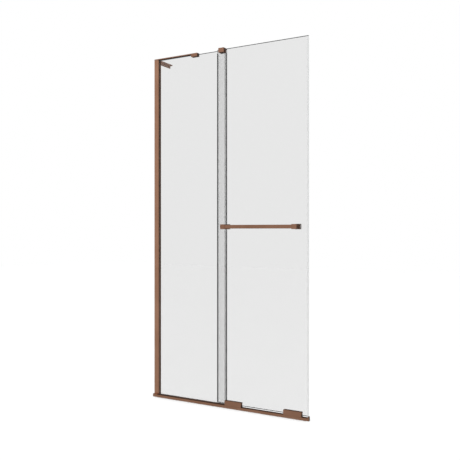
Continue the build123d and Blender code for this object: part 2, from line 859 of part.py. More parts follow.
def carrier_gaskets():
    """Thin pads between the glass and the plates of both carriers."""
    pads = []
    for x0 in carrier_x0s:
        left = x0 + plate_end_gap
        right = x0 + carrier_length - plate_end_gap
        front = block(left, right, plate_back, slide_front, sliding_bottom, flange_top)
        rear = block(left, right, slide_back, slide_back + glass_gasket, sliding_bottom, flange_top)
        for pad in (front, rear):
            for side in (-1, 1):
                x = x0 + carrier_length / 2 + side * carrier_screw_spacing / 2
                pad -= rod_y(x, carrier_hole_height, carrier_screw_radius + slip_gap,
                             plate_back, slide_back + glass_gasket)
            pads.append(pad)
    return pads


def carrier_bushes():
    """Nylon sleeves in the carriers' holes through the glass."""
    sleeves = []
    for x in carrier_screw_xs():
        sleeve = rod_y(x, carrier_hole_height, carrier_hole_radius - bush_clearance,
                       slide_front, slide_back)
        sleeves.append(sleeve - rod_y(x, carrier_hole_height, carrier_screw_radius + slip_gap,
                                      slide_front, slide_back))
    return sleeves


def carrier_screws():
    """Four countersunk screws from the rear plates into the carriers' bosses."""
    tip = plate_front - carrier_boss_height + screw_tip_gap
    return [countersunk_y(x, carrier_hole_height, rear_plate_back, tip,
                          carrier_screw_radius, carrier_screw_head, carrier_screw_head_height)
            for x in carrier_screw_xs()]


def axle_pins():
    """Four shouldered pins that are riveted into the carrier plates."""
    pins = []
    for x in wheel_xs():
        pin = rod_y(x, axle_z, axle_radius, bearing_front - axle_play, plate_back)
        pin += rod_y(x, axle_z, axle_head_radius, bearing_front - axle_head, bearing_front - axle_play)
        pin += rod_y(x, axle_z, axle_head_radius, bearing_back + axle_play, plate_front)
        pins.append(pin)
    return pins


def roller_wheel(x):
    """A grooved wheel: its groove follows the rounded top of the running strip."""
    groove_radius = strip_width / 2 + sliding_gap
    groove_centre = rolling_radius + groove_radius
    tread = wheel_radius - bearing_radius
    section = Pos(bearing_radius + tread / 2, 0) * Rectangle(tread, wheel_width)
    section -= Pos(groove_centre, 0) * Circle(groove_radius)
    section -= Pos(groove_centre + tread / 2, 0) * Rectangle(tread, 2 * groove_radius)
    wheel = revolve(section, Axis.Y)
    return Pos(x, wheel_y, axle_z) * wheel


def roller_bearing(x):
    """A small ball bearing, drawn as one ring with sunken shields."""
    bore = axle_radius + axle_clearance
    height = bearing_radius - bore
    section = Pos(bore + height / 2, 0) * Rectangle(height, bearing_width)
    for side in (-1, 1):
        shield = Rectangle(shield_outer - shield_inner, 2 * shield_depth)
        section -= Pos((shield_outer + shield_inner) / 2, side * bearing_width / 2) * shield
    return Pos(x, wheel_y, axle_z) * revolve(section, Axis.Y)


def sliding_pane():
    """The sliding sheet of clear glass, drilled for the handle and both carriers."""
    pane = glass_sheet(slide_left, slide_right, slide_front, slide_back, sliding_bottom, screen_height)
    for x in handle_xs:
        pane -= rod_y(x, handle_height, handle_hole_radius, slide_front, slide_back)
    for x in carrier_screw_xs():
        pane -= rod_y(x, carrier_hole_height, carrier_hole_radius, slide_front, slide_back)
    return pane


# Travel stops
stop_front = plate_front + slip_gap
stop_back = slide_back
stop_middle_y = (stop_front + stop_back) / 2
left_stop_x1 = carrier_x0s[0] + plate_end_gap - slide_travel - sliding_gap
right_stop_x0 = carrier_x0s[1] + carrier_length - plate_end_gap + sliding_gap


def stop_screw_places():
    """Places of the two stop screws along X."""
    return [left_stop_x1 - stop_length / 2, right_stop_x0 + stop_length / 2]


def travel_stops():
    """Two low stops on the rail that meet the ends of the carrier plates."""
    stops = []
    for x in stop_screw_places():
        stop = block(x - stop_length / 2, x + stop_length / 2, stop_front, stop_back,
                     rail_height, rail_height + stop_height)
        stop -= rod_z(x, stop_middle_y, stop_screw_radius + slip_gap, rail_height,
                      rail_height + stop_height)
        sink = Cone(stop_screw_radius + thread_gap, stop_screw_head + thread_gap, stop_screw_head_height)
        stop -= Pos(x, stop_middle_y, rail_height + stop_height - stop_screw_head_height / 2) * sink
        stops.append(stop)
    return stops


def stop_screws():
    """The screws that hold the travel stops down."""
    top = rail_height + stop_height
    return [countersunk_z(x, stop_middle_y, top, top - stop_screw_length, stop_screw_radius,
                          stop_screw_head, stop_screw_head_height) for x in stop_screw_places()]


# Everything that stands still
save("bottom_rail", bottom_rail())
save("running_strip", running_strip())
save("wall_end_cap", wall_end_cap())
save("free_end_cap", free_end_cap())
save("travel_stops", *travel_stops())
save("stop_screws", *stop_screws())
save("glass_channel", glass_channel())
save("channel_end_plug", channel_end_plug())
save("setting_blocks", *setting_blocks())
save("channel_gaskets", *channel_gaskets())
save("fixed_pane", fixed_pane())
save("fixed_edge_seal", fixed_edge_seal())
save("wall_channel", wall_channel())
save("wall_post", wall_post())
save("post_gaskets", *post_gaskets())
save("post_top_cap", post_top_cap())
save("post_locking_screws", *post_locking_screws())
save("stabiliser_bar", stabiliser_bar())
save("wall_angle", wall_angle())
save("bar_screws", *bar_screws())
save("stabiliser_clamp", stabiliser_clamp())
save("stabiliser_clamp_pad", glass_pad(clamp_x0, clamp_x1, clamp_bottom))
save("stabiliser_clamp_screws",
     *[grub_y(x, clamp_screw_z, clamp_screw_radius, jaw_back, post_back) for x in stabiliser_screw_places])
save("guide_clamp", guide_clamp())
save("guide_clamp_pad", glass_pad(guide_x0 + guide_lining_inset, guide_x1 - guide_lining_inset,
                                  guide_bottom + guide_lining_inset))
save("guide_clamp_screws",
     *[grub_y(x, guide_screw_z, clamp_screw_radius, jaw_back, guide_y1) for x in guide_screw_places])
save("guide_insert", guide_insert())

# Everything that slides
save("sliding_pane", sliding_pane())
save("trailing_edge_seal", trailing_edge_seal())
save("leading_edge_seal", leading_edge_seal())
save("handle_bar", handle_bar())
save("handle_block_left", handle_block(handle_xs[0], grub_xs[0], 1))
save("handle_block_right", handle_block(handle_xs[1], grub_xs[1], -1))
save("handle_bushes", *handle_bushes())
save("handle_gaskets", *handle_gaskets())
save("handle_rear_plates", *handle_rear_plates())
save("handle_screws", *handle_screws())
save("handle_grub_screws", *handle_grub_screws())
save("carrier_plate_left", carrier_plate(carrier_x0s[0]))
save("carrier_plate_right", carrier_plate(carrier_x0s[1]))
save("carrier_cover_left", carrier_cover(carrier_x0s[0]))
save("carrier_cover_right", carrier_cover(carrier_x0s[1]))
save("carrier_rear_plates", *carrier_rear_plates())
save("carrier_gaskets", *carrier_gaskets())
save("carrier_bushes", *carrier_bushes())
save("carrier_screws", *carrier_screws())
save("axle_pins", *axle_pins())

# Wheels, numbered from the wall, each with its bearing
for number, wheel_x in enumerate(wheel_xs(), start=1):
    save(f"roller_wheel_{number}", roller_wheel(wheel_x))
    save(f"roller_bearing_{number}", roller_bearing(wheel_x))
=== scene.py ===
# %% [markdown]
# A sliding walk-in shower screen, dressed for its studio picture.
#
# The engineering model arrives as a finished frame: every rail, pane, clamp and screw is already at its
# real size and place. This notebook gives those pieces their finishes, replaces the ones that need
# softer edges or finer profiles, and sets up the camera and the light. All lengths are in metres. X runs
# along the screen from the wall to the free end, -Y is the side with the handle, and Z is up.

# %% Load the frame
import json
import math

import bmesh
import bpy
from mathutils import Matrix, Vector

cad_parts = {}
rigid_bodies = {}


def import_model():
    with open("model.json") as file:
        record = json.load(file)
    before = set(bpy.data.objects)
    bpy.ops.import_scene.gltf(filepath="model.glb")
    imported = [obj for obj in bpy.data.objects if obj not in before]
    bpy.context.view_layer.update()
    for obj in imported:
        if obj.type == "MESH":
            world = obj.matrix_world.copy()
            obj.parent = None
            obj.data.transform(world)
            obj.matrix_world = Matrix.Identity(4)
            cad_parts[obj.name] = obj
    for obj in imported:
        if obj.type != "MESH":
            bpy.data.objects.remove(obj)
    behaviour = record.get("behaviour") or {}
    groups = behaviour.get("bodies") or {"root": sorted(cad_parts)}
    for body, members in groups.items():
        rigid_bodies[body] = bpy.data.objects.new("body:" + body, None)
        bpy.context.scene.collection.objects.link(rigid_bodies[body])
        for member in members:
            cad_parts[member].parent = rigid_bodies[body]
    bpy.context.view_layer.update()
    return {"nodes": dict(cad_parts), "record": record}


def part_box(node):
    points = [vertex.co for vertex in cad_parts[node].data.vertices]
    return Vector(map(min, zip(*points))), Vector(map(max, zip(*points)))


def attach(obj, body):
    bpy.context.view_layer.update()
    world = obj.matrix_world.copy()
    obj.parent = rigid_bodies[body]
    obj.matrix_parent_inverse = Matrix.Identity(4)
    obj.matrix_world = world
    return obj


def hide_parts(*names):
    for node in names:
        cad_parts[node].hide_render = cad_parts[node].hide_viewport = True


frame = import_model()
nodes = frame["nodes"]
MM = 0.001

# %% [markdown]
# The camera comes first, because every later choice is judged through it. The photograph has upright
# lines that stay parallel, so the camera looked level, from about 1 m above the floor. The receding rail
# and top edges give the rest: the lens stands well to the right and sees the screen turned by 30 degrees.
# A 50 mm lens on Blender's 36 mm sensor reproduces the spread of those lines.

# %% Camera
EYE = Vector((1.7975, -3.0742, 0.9895))
TURN = math.radians(30.0)

camera_data = bpy.data.cameras.new("studio_camera")
camera_data.lens = 50.0
camera_data.sensor_width = 36.0
camera = bpy.data.objects.new("studio_camera", camera_data)
camera.location = EYE
camera.rotation_euler = (math.radians(90.0), 0.0, TURN)
bpy.context.scene.collection.objects.link(camera)
bpy.context.scene.camera = camera
bpy.context.scene.view_settings.view_transform = "Standard"
print("camera at", tuple(camera.location), "lens", camera_data.lens)

# %% [markdown]
# A material in Blender is a small graph of nodes. Nearly every finish below is built the same way: a
# pattern in the piece's own coordinates changes the colour a little, the roughness a little more, and
# tilts the surface through a bump. These helpers set up the shader, add a node for one sum, one change of
# range or one mix, and join the sockets, so that each finish can be written as a few readable lines.


# %% Material helpers
MIX_SOCKETS = {"FLOAT": (2, 3, 0), "RGBA": (6, 7, 2)}


def add_node(tree, kind):
    """A new shader node of one kind."""
    return tree.nodes.new(f"ShaderNode{kind}")


def new_material(name):
    """An empty node material, with its Principled shader joined to the output."""
    material = bpy.data.materials.new(name)
    material.use_nodes = True
    tree = material.node_tree
    tree.nodes.clear()
    output = add_node(tree, "OutputMaterial")
    shader = add_node(tree, "BsdfPrincipled")
    tree.links.new(shader.outputs["BSDF"], output.inputs["Surface"])
    return material, tree, shader


def feed(tree, socket, value):
    """Sets a socket to a number or a colour, or joins another node's output to it."""
    if isinstance(value, bpy.types.NodeSocket):
        tree.links.new(value, socket)
    else:
        socket.default_value = value


def add_math(tree, operation, *values):
    """One sum on numbers or on other nodes' outputs."""
    node = add_node(tree, "Math")
    node.operation = operation
    for socket, value in zip(node.inputs, values):
        feed(tree, socket, value)
    return node.outputs["Value"]


def add_range(tree, value, before, after, curve="LINEAR"):
    """Turns one span of values into another."""
    node = add_node(tree, "MapRange")
    node.interpolation_type = curve
    for socket, number in zip(("From Min", "From Max", "To Min", "To Max"), (*before, *after)):
        node.inputs[socket].default_value = number
    tree.links.new(value, node.inputs["Value"])
    return node.outputs["Result"]


def add_mix(tree, kind, mask, first, second):
    """The first number or colour where the mask is 0, the second where it is 1."""
    node = add_node(tree, "Mix")
    node.data_type = kind
    low, high, result = MIX_SOCKETS[kind]
    for socket, value in ((0, mask), (low, first), (high, second)):
        feed(tree, node.inputs[socket], value)
    return node.outputs[result]


def add_noise(tree, stretch, scale, detail=3.0):
    """Noise on the piece's own coordinates, stretched by a different amount along each axis."""
    coordinates = add_node(tree, "TexCoord")
    mapping = add_node(tree, "Mapping")
    mapping.inputs["Scale"].default_value = stretch
    noise = add_node(tree, "TexNoise")
    noise.inputs["Scale"].default_value = scale
    noise.inputs["Detail"].default_value = detail
    tree.links.new(coordinates.outputs["Object"], mapping.inputs["Vector"])
    tree.links.new(mapping.outputs["Vector"], noise.inputs["Vector"])
    return noise.outputs["Fac"]


def drive_colour(tree, shader, pattern, dark, light):
    """The pattern blends the base colour between two close tones."""
    ramp = add_node(tree, "ValToRGB")
    for stop, position, tone in zip(ramp.color_ramp.elements, (0.35, 0.65), (dark, light)):
        stop.position = position
        stop.color = (*tone, 1.0)
    tree.links.new(pattern, ramp.inputs["Fac"])
    tree.links.new(ramp.outputs["Color"], shader.inputs["Base Color"])


def drive_roughness(tree, shader, pattern, smooth, rough):
    """The pattern moves the roughness between two values."""
    tree.links.new(add_range(tree, pattern, (0.3, 0.7), (smooth, rough)), shader.inputs["Roughness"])


def drive_bump(tree, shader, pattern, height, strength):
    """The pattern tilts the surface by a real height in metres."""
    bump = add_node(tree, "Bump")
    bump.inputs["Strength"].default_value = strength
    bump.inputs["Distance"].default_value = height
    tree.links.new(pattern, bump.inputs["Height"])
    tree.links.new(bump.outputs["Normal"], shader.inputs["Normal"])


finishes = {}
EVEN = (1.0, 1.0, 1.0)
print("mix sockets:", MIX_SOCKETS)

# %% [markdown]
# The metalwork is brushed in one direction and coloured like aged copper. Brushing leaves hair-fine
# scratches that run with the long side of each piece, so the noise is squeezed hard across the grain and
# left long with it. One finish is made for pieces that lie along X, one for uprights along Z and one for
# the short angle along Y, since a scratch pattern that turned with the piece would need a map on each.
# The three also carry painted light and shade. The uprights are painted brighter than the pieces along X.
# The angle along Y is painted lighter and made less metallic, so that it looks lit.


# %% Brushed copper
# Each axis has its own pair of tones: painted light and shade on the same copper.
COPPER_DARK_WITH_PAINTED_LIGHT = {"x": (0.50, 0.258, 0.164), "y": (0.60, 0.36, 0.26), "z": (0.66, 0.352, 0.226)}
COPPER_LIGHT_WITH_PAINTED_LIGHT = {"x": (0.58, 0.311, 0.204), "y": (0.66, 0.41, 0.30), "z": (0.74, 0.402, 0.262)}
GRAIN = {"x": (1.0, 60.0, 60.0), "y": (60.0, 1.0, 60.0), "z": (60.0, 60.0, 1.0)}
SCRATCH_SCALE = 28.0
SCRATCH_DEPTH = 0.04 * MM
CLOUD_SCALE = 9.0


def brushed_copper(axis):
    """Satin copper whose fine scratches run along one axis, in tones that carry that axis's painted light and
    shade.
    """
    material, tree, shader = new_material(f"brushed_copper_{axis}")
    scratches = add_noise(tree, GRAIN[axis], SCRATCH_SCALE, 4.0)
    clouds = add_noise(tree, EVEN, CLOUD_SCALE, 2.0)
    drive_colour(tree, shader, clouds, COPPER_DARK_WITH_PAINTED_LIGHT[axis], COPPER_LIGHT_WITH_PAINTED_LIGHT[axis])
    drive_roughness(tree, shader, scratches, 0.27, 0.40)
    drive_bump(tree, shader, scratches, SCRATCH_DEPTH, 0.15)
    # Less metal on the angle along Y lets it take diffuse light: a painted lit copy of the copper.
    shader.inputs["Metallic"].default_value = 0.70 if axis == "y" else 1.0
    return material


for grain_axis in GRAIN:
    finishes[f"copper_{grain_axis}"] = brushed_copper(grain_axis)
print("copper finishes:", [name for name in finishes if name.startswith("copper")])

# %% [markdown]
# The glass is 6 mm toughened sheet. A transmission shader bends and tints the light, and the tint is the
# share that one crossing of the surface lets through, so a pane takes it twice. The polished faces are
# clear. The ground edges are dull, and their colour is painted light and shade. The mask that tells them
# apart is the surface normal: a sheet that stands along X has all its clear area facing Y. The edge that
# faces the free end gets a painted pale grey, as if it catches the light. The one that a seal covers gets
# a painted dark shade. Light that runs inside the sheet also leaves a dark line along its top and bottom.
# That line is painted shade too, so one more mask measures how close a point is to those two edges.


# %% Clear glass with ground edges
GLASS_TINT = (0.833, 0.834, 0.833)
# Painted light for the edge at the free end, and painted shade for the other edges and the top and bottom
# lines.
PAINTED_EDGE_LIGHT = (0.60, 0.61, 0.61)
PAINTED_EDGE_SHADE = (0.060, 0.066, 0.065)
EDGE_LINE = 2.9 * MM
GROUND_ROUGHNESS = (0.45, 0.70)


def clear_glass(pane):
    """Toughened glass: clear on its two large faces, ground on its edges with painted light and shade, and a
    painted dark line along top and bottom.
    """
    material, tree, shader = new_material(f"glass_of_{pane}")
    low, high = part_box(pane)
    geometry = add_node(tree, "NewGeometry")
    facing = add_node(tree, "SeparateXYZ")
    coordinates = add_node(tree, "TexCoord")
    place = add_node(tree, "SeparateXYZ")
    tree.links.new(geometry.outputs["Normal"], facing.inputs["Vector"])
    tree.links.new(coordinates.outputs["Object"], place.inputs["Vector"])

    large_face = add_range(tree, add_math(tree, "ABSOLUTE", facing.outputs["Y"]), (0.80, 0.95), (0.0, 1.0))
    from_middle = add_math(tree, "SUBTRACT", place.outputs["Z"], (low.z + high.z) / 2)
    off_the_lines = add_math(tree, "LESS_THAN", add_math(tree, "ABSOLUTE", from_middle),
                             (high.z - low.z) / 2 - EDGE_LINE)
    clear = add_math(tree, "MULTIPLY", large_face, off_the_lines)
    free_side = add_math(tree, "GREATER_THAN", place.outputs["X"], (low.x + high.x) / 2)
    pale = add_math(tree, "MULTIPLY", free_side, off_the_lines)

    # The edge colour is painted light at the free end and painted shade everywhere else on the edges.
    edge = add_mix(tree, "RGBA", pale, (*PAINTED_EDGE_SHADE, 1.0), (*PAINTED_EDGE_LIGHT, 1.0))
    feed(tree, shader.inputs["Base Color"], add_mix(tree, "RGBA", clear, edge, (*GLASS_TINT, 1.0)))
    feed(tree, shader.inputs["Transmission Weight"], clear)
    ground = add_range(tree, add_noise(tree, EVEN, 900.0, 4.0), (0.0, 1.0), GROUND_ROUGHNESS)
    feed(tree, shader.inputs["Roughness"], add_mix(tree, "FLOAT", clear, ground, 0.0))
    shader.inputs["IOR"].default_value = 1.5
    return material


PANES = ("fixed_pane", "sliding_pane")
for pane_name in PANES:
    finishes[pane_name] = clear_glass(pane_name)
print("light through one pane:", [round(channel ** 2, 3) for channel in GLASS_TINT])

# %% [markdown]
# The remaining finishes are plainer: mill aluminium and stainless steel for what is hidden or small,
# off-white nylon for the wheels, dark plastic and rubber for plugs and gaskets. The seals are a soft
# plastic so thin that it only hides a part of what lies behind it, and the shader's Alpha value says how
# much. Each still has its own small-scale pattern, because real surfaces are never one colour. A row of
# the table is one finish: its name, its two tones and the last numbers of its recipe.


# %% Hardware finishes
def plain_metal(name, dark, light, smooth, rough, scale):
    """Bare metal with fine clouding and a soft sheen."""
    material, tree, shader = new_material(name)
    clouds = add_noise(tree, EVEN, scale, 4.0)
    drive_colour(tree, shader, clouds, dark, light)
    drive_roughness(tree, shader, clouds, smooth, rough)
    drive_bump(tree, shader, clouds, 0.00002, 0.3)
    shader.inputs["Metallic"].default_value = 1.0
    return material


def plain_polymer(name, dark, light, smooth, rough, scale):
    """Moulded plastic or rubber with a fine grain."""
    material, tree, shader = new_material(name)
    grain = add_noise(tree, EVEN, scale)
    drive_colour(tree, shader, grain, dark, light)
    drive_roughness(tree, shader, grain, smooth, rough)
    drive_bump(tree, shader, grain, 0.00003, 0.4)
    shader.inputs["IOR"].default_value = 1.45
    return material


def soft_seal(name, dark, light, cover, smooth, rough):
    """Thin soft plastic. It hides only a part of what lies behind it, and it's cloudy along its length."""
    material, tree, shader = new_material(name)
    haze = add_noise(tree, (1.0, 1.0, 0.05), 240.0)
    drive_colour(tree, shader, haze, dark, light)
    drive_roughness(tree, shader, haze, smooth, rough)
    shader.inputs["Alpha"].default_value = cover
    shader.inputs["Specular IOR Level"].default_value = 0.2
    return material


RECIPES = {
    plain_metal: {
        "aluminium": ("mill_aluminium", (0.52, 0.52, 0.53), (0.66, 0.66, 0.67), 0.30, 0.45, 300.0),
        "steel": ("stainless_steel", (0.48, 0.48, 0.49), (0.62, 0.62, 0.63), 0.20, 0.34, 500.0),
        # The running strip's steel is painted nearly black brown, as painted shade for its groove in the rail
        # top.
        "steel_in_painted_shade": ("steel_in_painted_shade", (0.070, 0.050, 0.040), (0.100, 0.070, 0.056), 0.35, 0.50, 300.0)},
    plain_polymer: {
        "nylon": ("off_white_nylon", (0.66, 0.66, 0.62), (0.74, 0.74, 0.70), 0.35, 0.50, 900.0),
        "dark_plastic": ("dark_plastic", (0.022, 0.022, 0.024), (0.035, 0.035, 0.037), 0.40, 0.60, 900.0),
        "grey_rubber": ("grey_rubber", (0.030, 0.030, 0.032), (0.048, 0.048, 0.050), 0.60, 0.80, 700.0),
        "handle_gaskets": ("pale_rubber", (0.22, 0.22, 0.22), (0.30, 0.30, 0.30), 0.60, 0.80, 700.0),
        "guide_insert": ("black_nylon", (0.016, 0.013, 0.012), (0.026, 0.022, 0.020), 0.40, 0.55, 900.0)},
    soft_seal: {
        "clear_seal": ("clear_seal", (0.40, 0.40, 0.40), (0.50, 0.50, 0.50), 0.035, 0.20, 0.35),
        "tinted_seal": ("tinted_seal", (0.05, 0.05, 0.05), (0.09, 0.09, 0.09), 0.17, 0.30, 0.45),
        # The near-black smoke tone is partly the seal's own and partly painted shade for the dark glass
        # edges.
        "smoke_seal_with_painted_shade": ("smoke_seal_with_painted_shade", (0.006, 0.006, 0.007), (0.014, 0.014, 0.015), 0.98, 0.40, 0.60)}}
for make, recipes in RECIPES.items():
    for finish_name, recipe in recipes.items():
        finishes[finish_name] = make(*recipe)
print("finishes:", len(finishes))

# %% [markdown]
# Every engineering node gets a finish straight away, so that nothing is ever seen bare. The record says
# which stock each node is made of, and for brushed copper the longest side of the node decides which way
# its scratches run.

# %% Give every node its finish
stock = {part["node"]: part["material_slot"] for part in frame["record"]["subparts"]}


def grain_of(node):
    """The axis letter of a node's longest side."""
    low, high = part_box(node)
    sides = [high[axis] - low[axis] for axis in range(3)]
    return "xyz"[sides.index(max(sides))]


def finish_for(node):
    """The finish that suits one node's stock, or one made for that node."""
    if node in finishes:
        return finishes[node]
    if stock[node] == "copper":
        return finishes[f"copper_{grain_of(node)}"]
    return finishes[stock[node]]


for node_name, node_object in nodes.items():
    node_object.data.materials.clear()
    node_object.data.materials.append(finish_for(node_name))
for pane_name in PANES:
    nodes[pane_name].visible_diffuse = False
    nodes[pane_name].visible_shadow = False
print("dressed", len(nodes), "nodes")

# %% [markdown]
# The new pieces all start small: a cube that is stretched from corner to corner, or an outline of a few
# points that is extruded along one axis, the way an aluminium profile is pressed. Their sizes are read
# from the engineering nodes, so a piece can't drift away from its place. Real edges are never sharp, and
# a narrow bevel is what catches the light, so each shape is softened before it is finished.

# %% Shape helpers
AXES = {"x": Vector((1, 0, 0)), "y": Vector((0, 1, 0)), "z": Vector((0, 0, 1))}
SHARP = math.radians(34.0)
FOLD = math.radians(40.0)
ALIGNED = 0.999
NEAR = MM / 2


def add_block(shape, low, high):
    """A cube stretched from its low corner to its high corner. Returns its vertices."""
    made = bmesh.ops.create_cube(shape, size=1.0)["verts"]
    bmesh.ops.scale(shape, vec=Vector(high) - Vector(low), verts=made)
    bmesh.ops.translate(shape, vec=(Vector(low) + Vector(high)) / 2, verts=made)
    return made


def turn_outwards(shape):
    """Turns every face so that its front looks out of the body."""
    bmesh.ops.recalc_face_normals(shape, faces=shape.faces)


def new_block(low, high):
    """A shape of its own that is one block, with its faces turned outwards."""
    shape = bmesh.new()
    add_block(shape, low, high)
    turn_outwards(shape)
    return shape


def join_shape(shape, other):
    """Moves all of another shape into this one."""
    mesh = bpy.data.meshes.new("joined")
    other.to_mesh(mesh)
    other.free()
    shape.from_mesh(mesh)
    bpy.data.meshes.remove(mesh)


def pull(shape, faces, step, opened=False):
    """Extrudes faces and moves the new end by a step. The old faces go if the body is opened there."""
    pulled = bmesh.ops.extrude_face_region(shape, geom=faces)["geom"]
    if opened:
        bmesh.ops.delete(shape, geom=[face for face in faces if face.is_valid], context="FACES_ONLY")
    moved = [item for item in pulled if isinstance(item, bmesh.types.BMVert)]
    bmesh.ops.translate(shape, vec=step, verts=moved)
    return [item for item in pulled if isinstance(item, bmesh.types.BMFace)]


def add_profile(shape, axis, outline, start, end):
    """A closed outline, drawn across one axis, extruded along it from start to end."""
    corners = []
    for point in outline:
        place = list(point)
        place.insert("xyz".index(axis), start)
        corners.append(shape.verts.new(place))
    pull(shape, [shape.faces.new(corners)], AXES[axis] * (end - start))
    turn_outwards(shape)


def runs_along(axis):
    """A test for straight edges that run along one axis."""
    def test(edge):
        way = edge.verts[1].co - edge.verts[0].co
        return abs(way.normalized().dot(AXES[axis])) > ALIGNED
    return test


def lies_at(axis, *values):
    """A test for edges that lie, with both ends, at one of the given values of x, y or z."""
    def test(edge):
        places = [vert.co["xyz".index(axis)] for vert in edge.verts]
        return any(all(abs(place - value) < NEAR for place in places) for value in values)
    return test


def meets(*tests):
    """A test for edges that pass every test in a list."""
    return lambda edge: all(test(edge) for test in tests)


def soften(shape, width, steps=3, wanted=None):
    """Bevels the outward sharp edges, or only those that pass a test."""
    edges = [edge for edge in shape.edges if len(edge.link_faces) == 2 and edge.is_convex
             and edge.calc_face_angle() > FOLD and (wanted is None or wanted(edge))]
    bmesh.ops.bevel(shape, geom=edges, offset=width, offset_type="OFFSET", segments=steps, profile=0.5,
                    affect="EDGES", clamp_overlap=True, material=-1)


def face_towards(shape, axis, side):
    """The largest flat face that looks along an axis (side 1) or against it (side -1)."""
    flat = [face for face in shape.faces if face.normal.dot(AXES[axis]) * side > ALIGNED]
    return max(flat, key=lambda face: face.calc_area())


def sink_holes(shape, face, centres, radii, depths, rim=40):
    """Stepped or tapered holes in one flat face: each ring has its radius and its depth below the face."""
    inward = -face.normal.copy()
    turn = inward.to_track_quat("Z", "Y").to_matrix().to_4x4()
    border = list(face.edges)
    bmesh.ops.delete(shape, geom=[face], context="FACES_ONLY")
    loops = []
    for centre in centres:
        ring = bmesh.ops.create_circle(shape, cap_ends=False, segments=rim, radius=radii[0],
                                       matrix=Matrix.Translation(centre) @ turn)["verts"]
        loops.append(list({edge for vert in ring for edge in vert.link_edges}))
    bmesh.ops.triangle_fill(shape, use_beauty=True, edges=border + sum(loops, []), normal=-inward)
    for loop in loops:
        for radius, depth, last in zip(radii[1:], depths, [0.0] + list(depths)):
            pulled = bmesh.ops.extrude_edge_only(shape, edges=loop)["geom"]
            verts = [item for item in pulled if isinstance(item, bmesh.types.BMVert)]
            loop = [item for item in pulled if isinstance(item, bmesh.types.BMEdge)]
            middle = sum((vert.co for vert in verts), Vector()) / len(verts)
            current = (verts[0].co - middle).length
            bmesh.ops.translate(shape, vec=inward * (depth - last), verts=verts)
            bmesh.ops.scale(shape, vec=Vector((1, 1, 1)) * (radius / current), verts=verts,
                            space=Matrix.Translation(-(middle + inward * (depth - last))))
        bmesh.ops.edgeloop_fill(shape, edges=loop)
    turn_outwards(shape)


def finish_piece(shape, name, body, finish, made_of, *stands_for):
    """Makes the shape a piece with its finish, on its body, in place of the nodes that it stands for."""
    turn_outwards(shape)
    mesh = bpy.data.meshes.new(name)
    shape.to_mesh(mesh)
    shape.free()
    for polygon in mesh.polygons:
        polygon.use_smooth = True
    mesh.set_sharp_from_angle(angle=SHARP)
    mesh.materials.append(finishes[finish])
    piece = bpy.data.objects.new(name, mesh)
    bpy.context.scene.collection.objects.link(piece)
    even = piece.modifiers.new("even_shading", "WEIGHTED_NORMAL")
    even.keep_sharp = True
    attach(piece, body)
    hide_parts(*stands_for)
    print(name, "has", len(mesh.polygons), "faces")
    return piece


def copper_piece(shape, name, body, node):
    """A piece of copper that is brushed along X, in place of one node."""
    finish_piece(shape, name, body, "copper_x", "copper", node)


STILL = "fixed_screen"
DOOR = "sliding_door"
print("bodies:", STILL, DOOR)

# %% [markdown]
# The rail is an extruded profile, so its outline is drawn once across X and pulled to its full length.
# The outline already holds the narrow groove near the front, in which the steel running strip is
# pressed. The two long top edges get the larger radius that an extrusion die leaves. The strip itself is
# a thin flat bar whose top is rounded until it is almost a half circle, for the grooved wheels to hug.

# %% Rail and running strip
rail_low, rail_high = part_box("bottom_rail")
strip_low, strip_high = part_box("running_strip")

rail = bmesh.new()
add_profile(rail, "x", [
    (rail_low.y, rail_low.z), (rail_low.y, rail_high.z),
    (strip_low.y, rail_high.z), (strip_low.y, strip_low.z),
    (strip_high.y, strip_low.z), (strip_high.y, rail_high.z),
    (rail_high.y, rail_high.z), (rail_high.y, rail_low.z)], rail_low.x, rail_high.x)
soften(rail, 0.8 * MM, 4, meets(
    runs_along("x"), lies_at("y", rail_low.y, rail_high.y), lies_at("z", rail_high.z)))
soften(rail, 0.2 * MM, 2, runs_along("x"))
copper_piece(rail, "rail_extrusion", STILL, "bottom_rail")

NEARLY_ROUND = 0.96
strip = new_block(strip_low, strip_high)
soften(strip, (strip_high.y - strip_low.y) / 2 * NEARLY_ROUND, 6,
       meets(runs_along("x"), lies_at("z", strip_high.z)))
# The strip's finish is painted shade, the dark of the groove it runs in.
finish_piece(strip, "steel_running_strip", STILL, "steel_in_painted_shade", "steel", "running_strip")

# %% [markdown]
# Both ends of the rail are closed by cast caps. The foot at the wall is a plate with a slot for the lower
# corner of the glass: one outline makes the arms, a second face fills the slot, both are pulled down to
# make the floor, and then only the arms are pulled up. The free end's cap is a block whose rear corner is
# rounded, and a cut across its top parts off the strip that is pulled up as the low guard of the glass.

# %% End caps of the rail
foot_low, foot_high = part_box("wall_end_cap")
foot_high.x = rail_low.x
channel_low, channel_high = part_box("glass_channel")
fixed_low, fixed_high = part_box("fixed_pane")
SLOT_GAP = 0.1 * MM
slot_front = fixed_low.y - MM
slot_back = fixed_high.y + MM
slot_left = fixed_low.x - SLOT_GAP
slot_floor = fixed_low.z - SLOT_GAP

foot = bmesh.new()
plan = [(foot_low.x, foot_low.y), (foot_high.x, foot_low.y), (foot_high.x, slot_front),
        (slot_left, slot_front), (slot_left, slot_back), (foot_high.x, slot_back),
        (foot_high.x, foot_high.y), (foot_low.x, foot_high.y)]
corners = [foot.verts.new((x, y, slot_floor)) for x, y in plan]
arms = foot.faces.new(corners)
slot = foot.faces.new([corners[3], corners[2], corners[5], corners[4]])
pull(foot, [arms, slot], (0, 0, foot_low.z - slot_floor))
pull(foot, [arms], (0, 0, foot_high.z - slot_floor), opened=True)
turn_outwards(foot)
soften(foot, 1.0 * MM, 4, meets(runs_along("z"), lies_at("y", foot_low.y, foot_high.y)))
soften(foot, 0.4 * MM, 2, lies_at("z", foot_high.z))
copper_piece(foot, "wall_foot", STILL, "wall_end_cap")

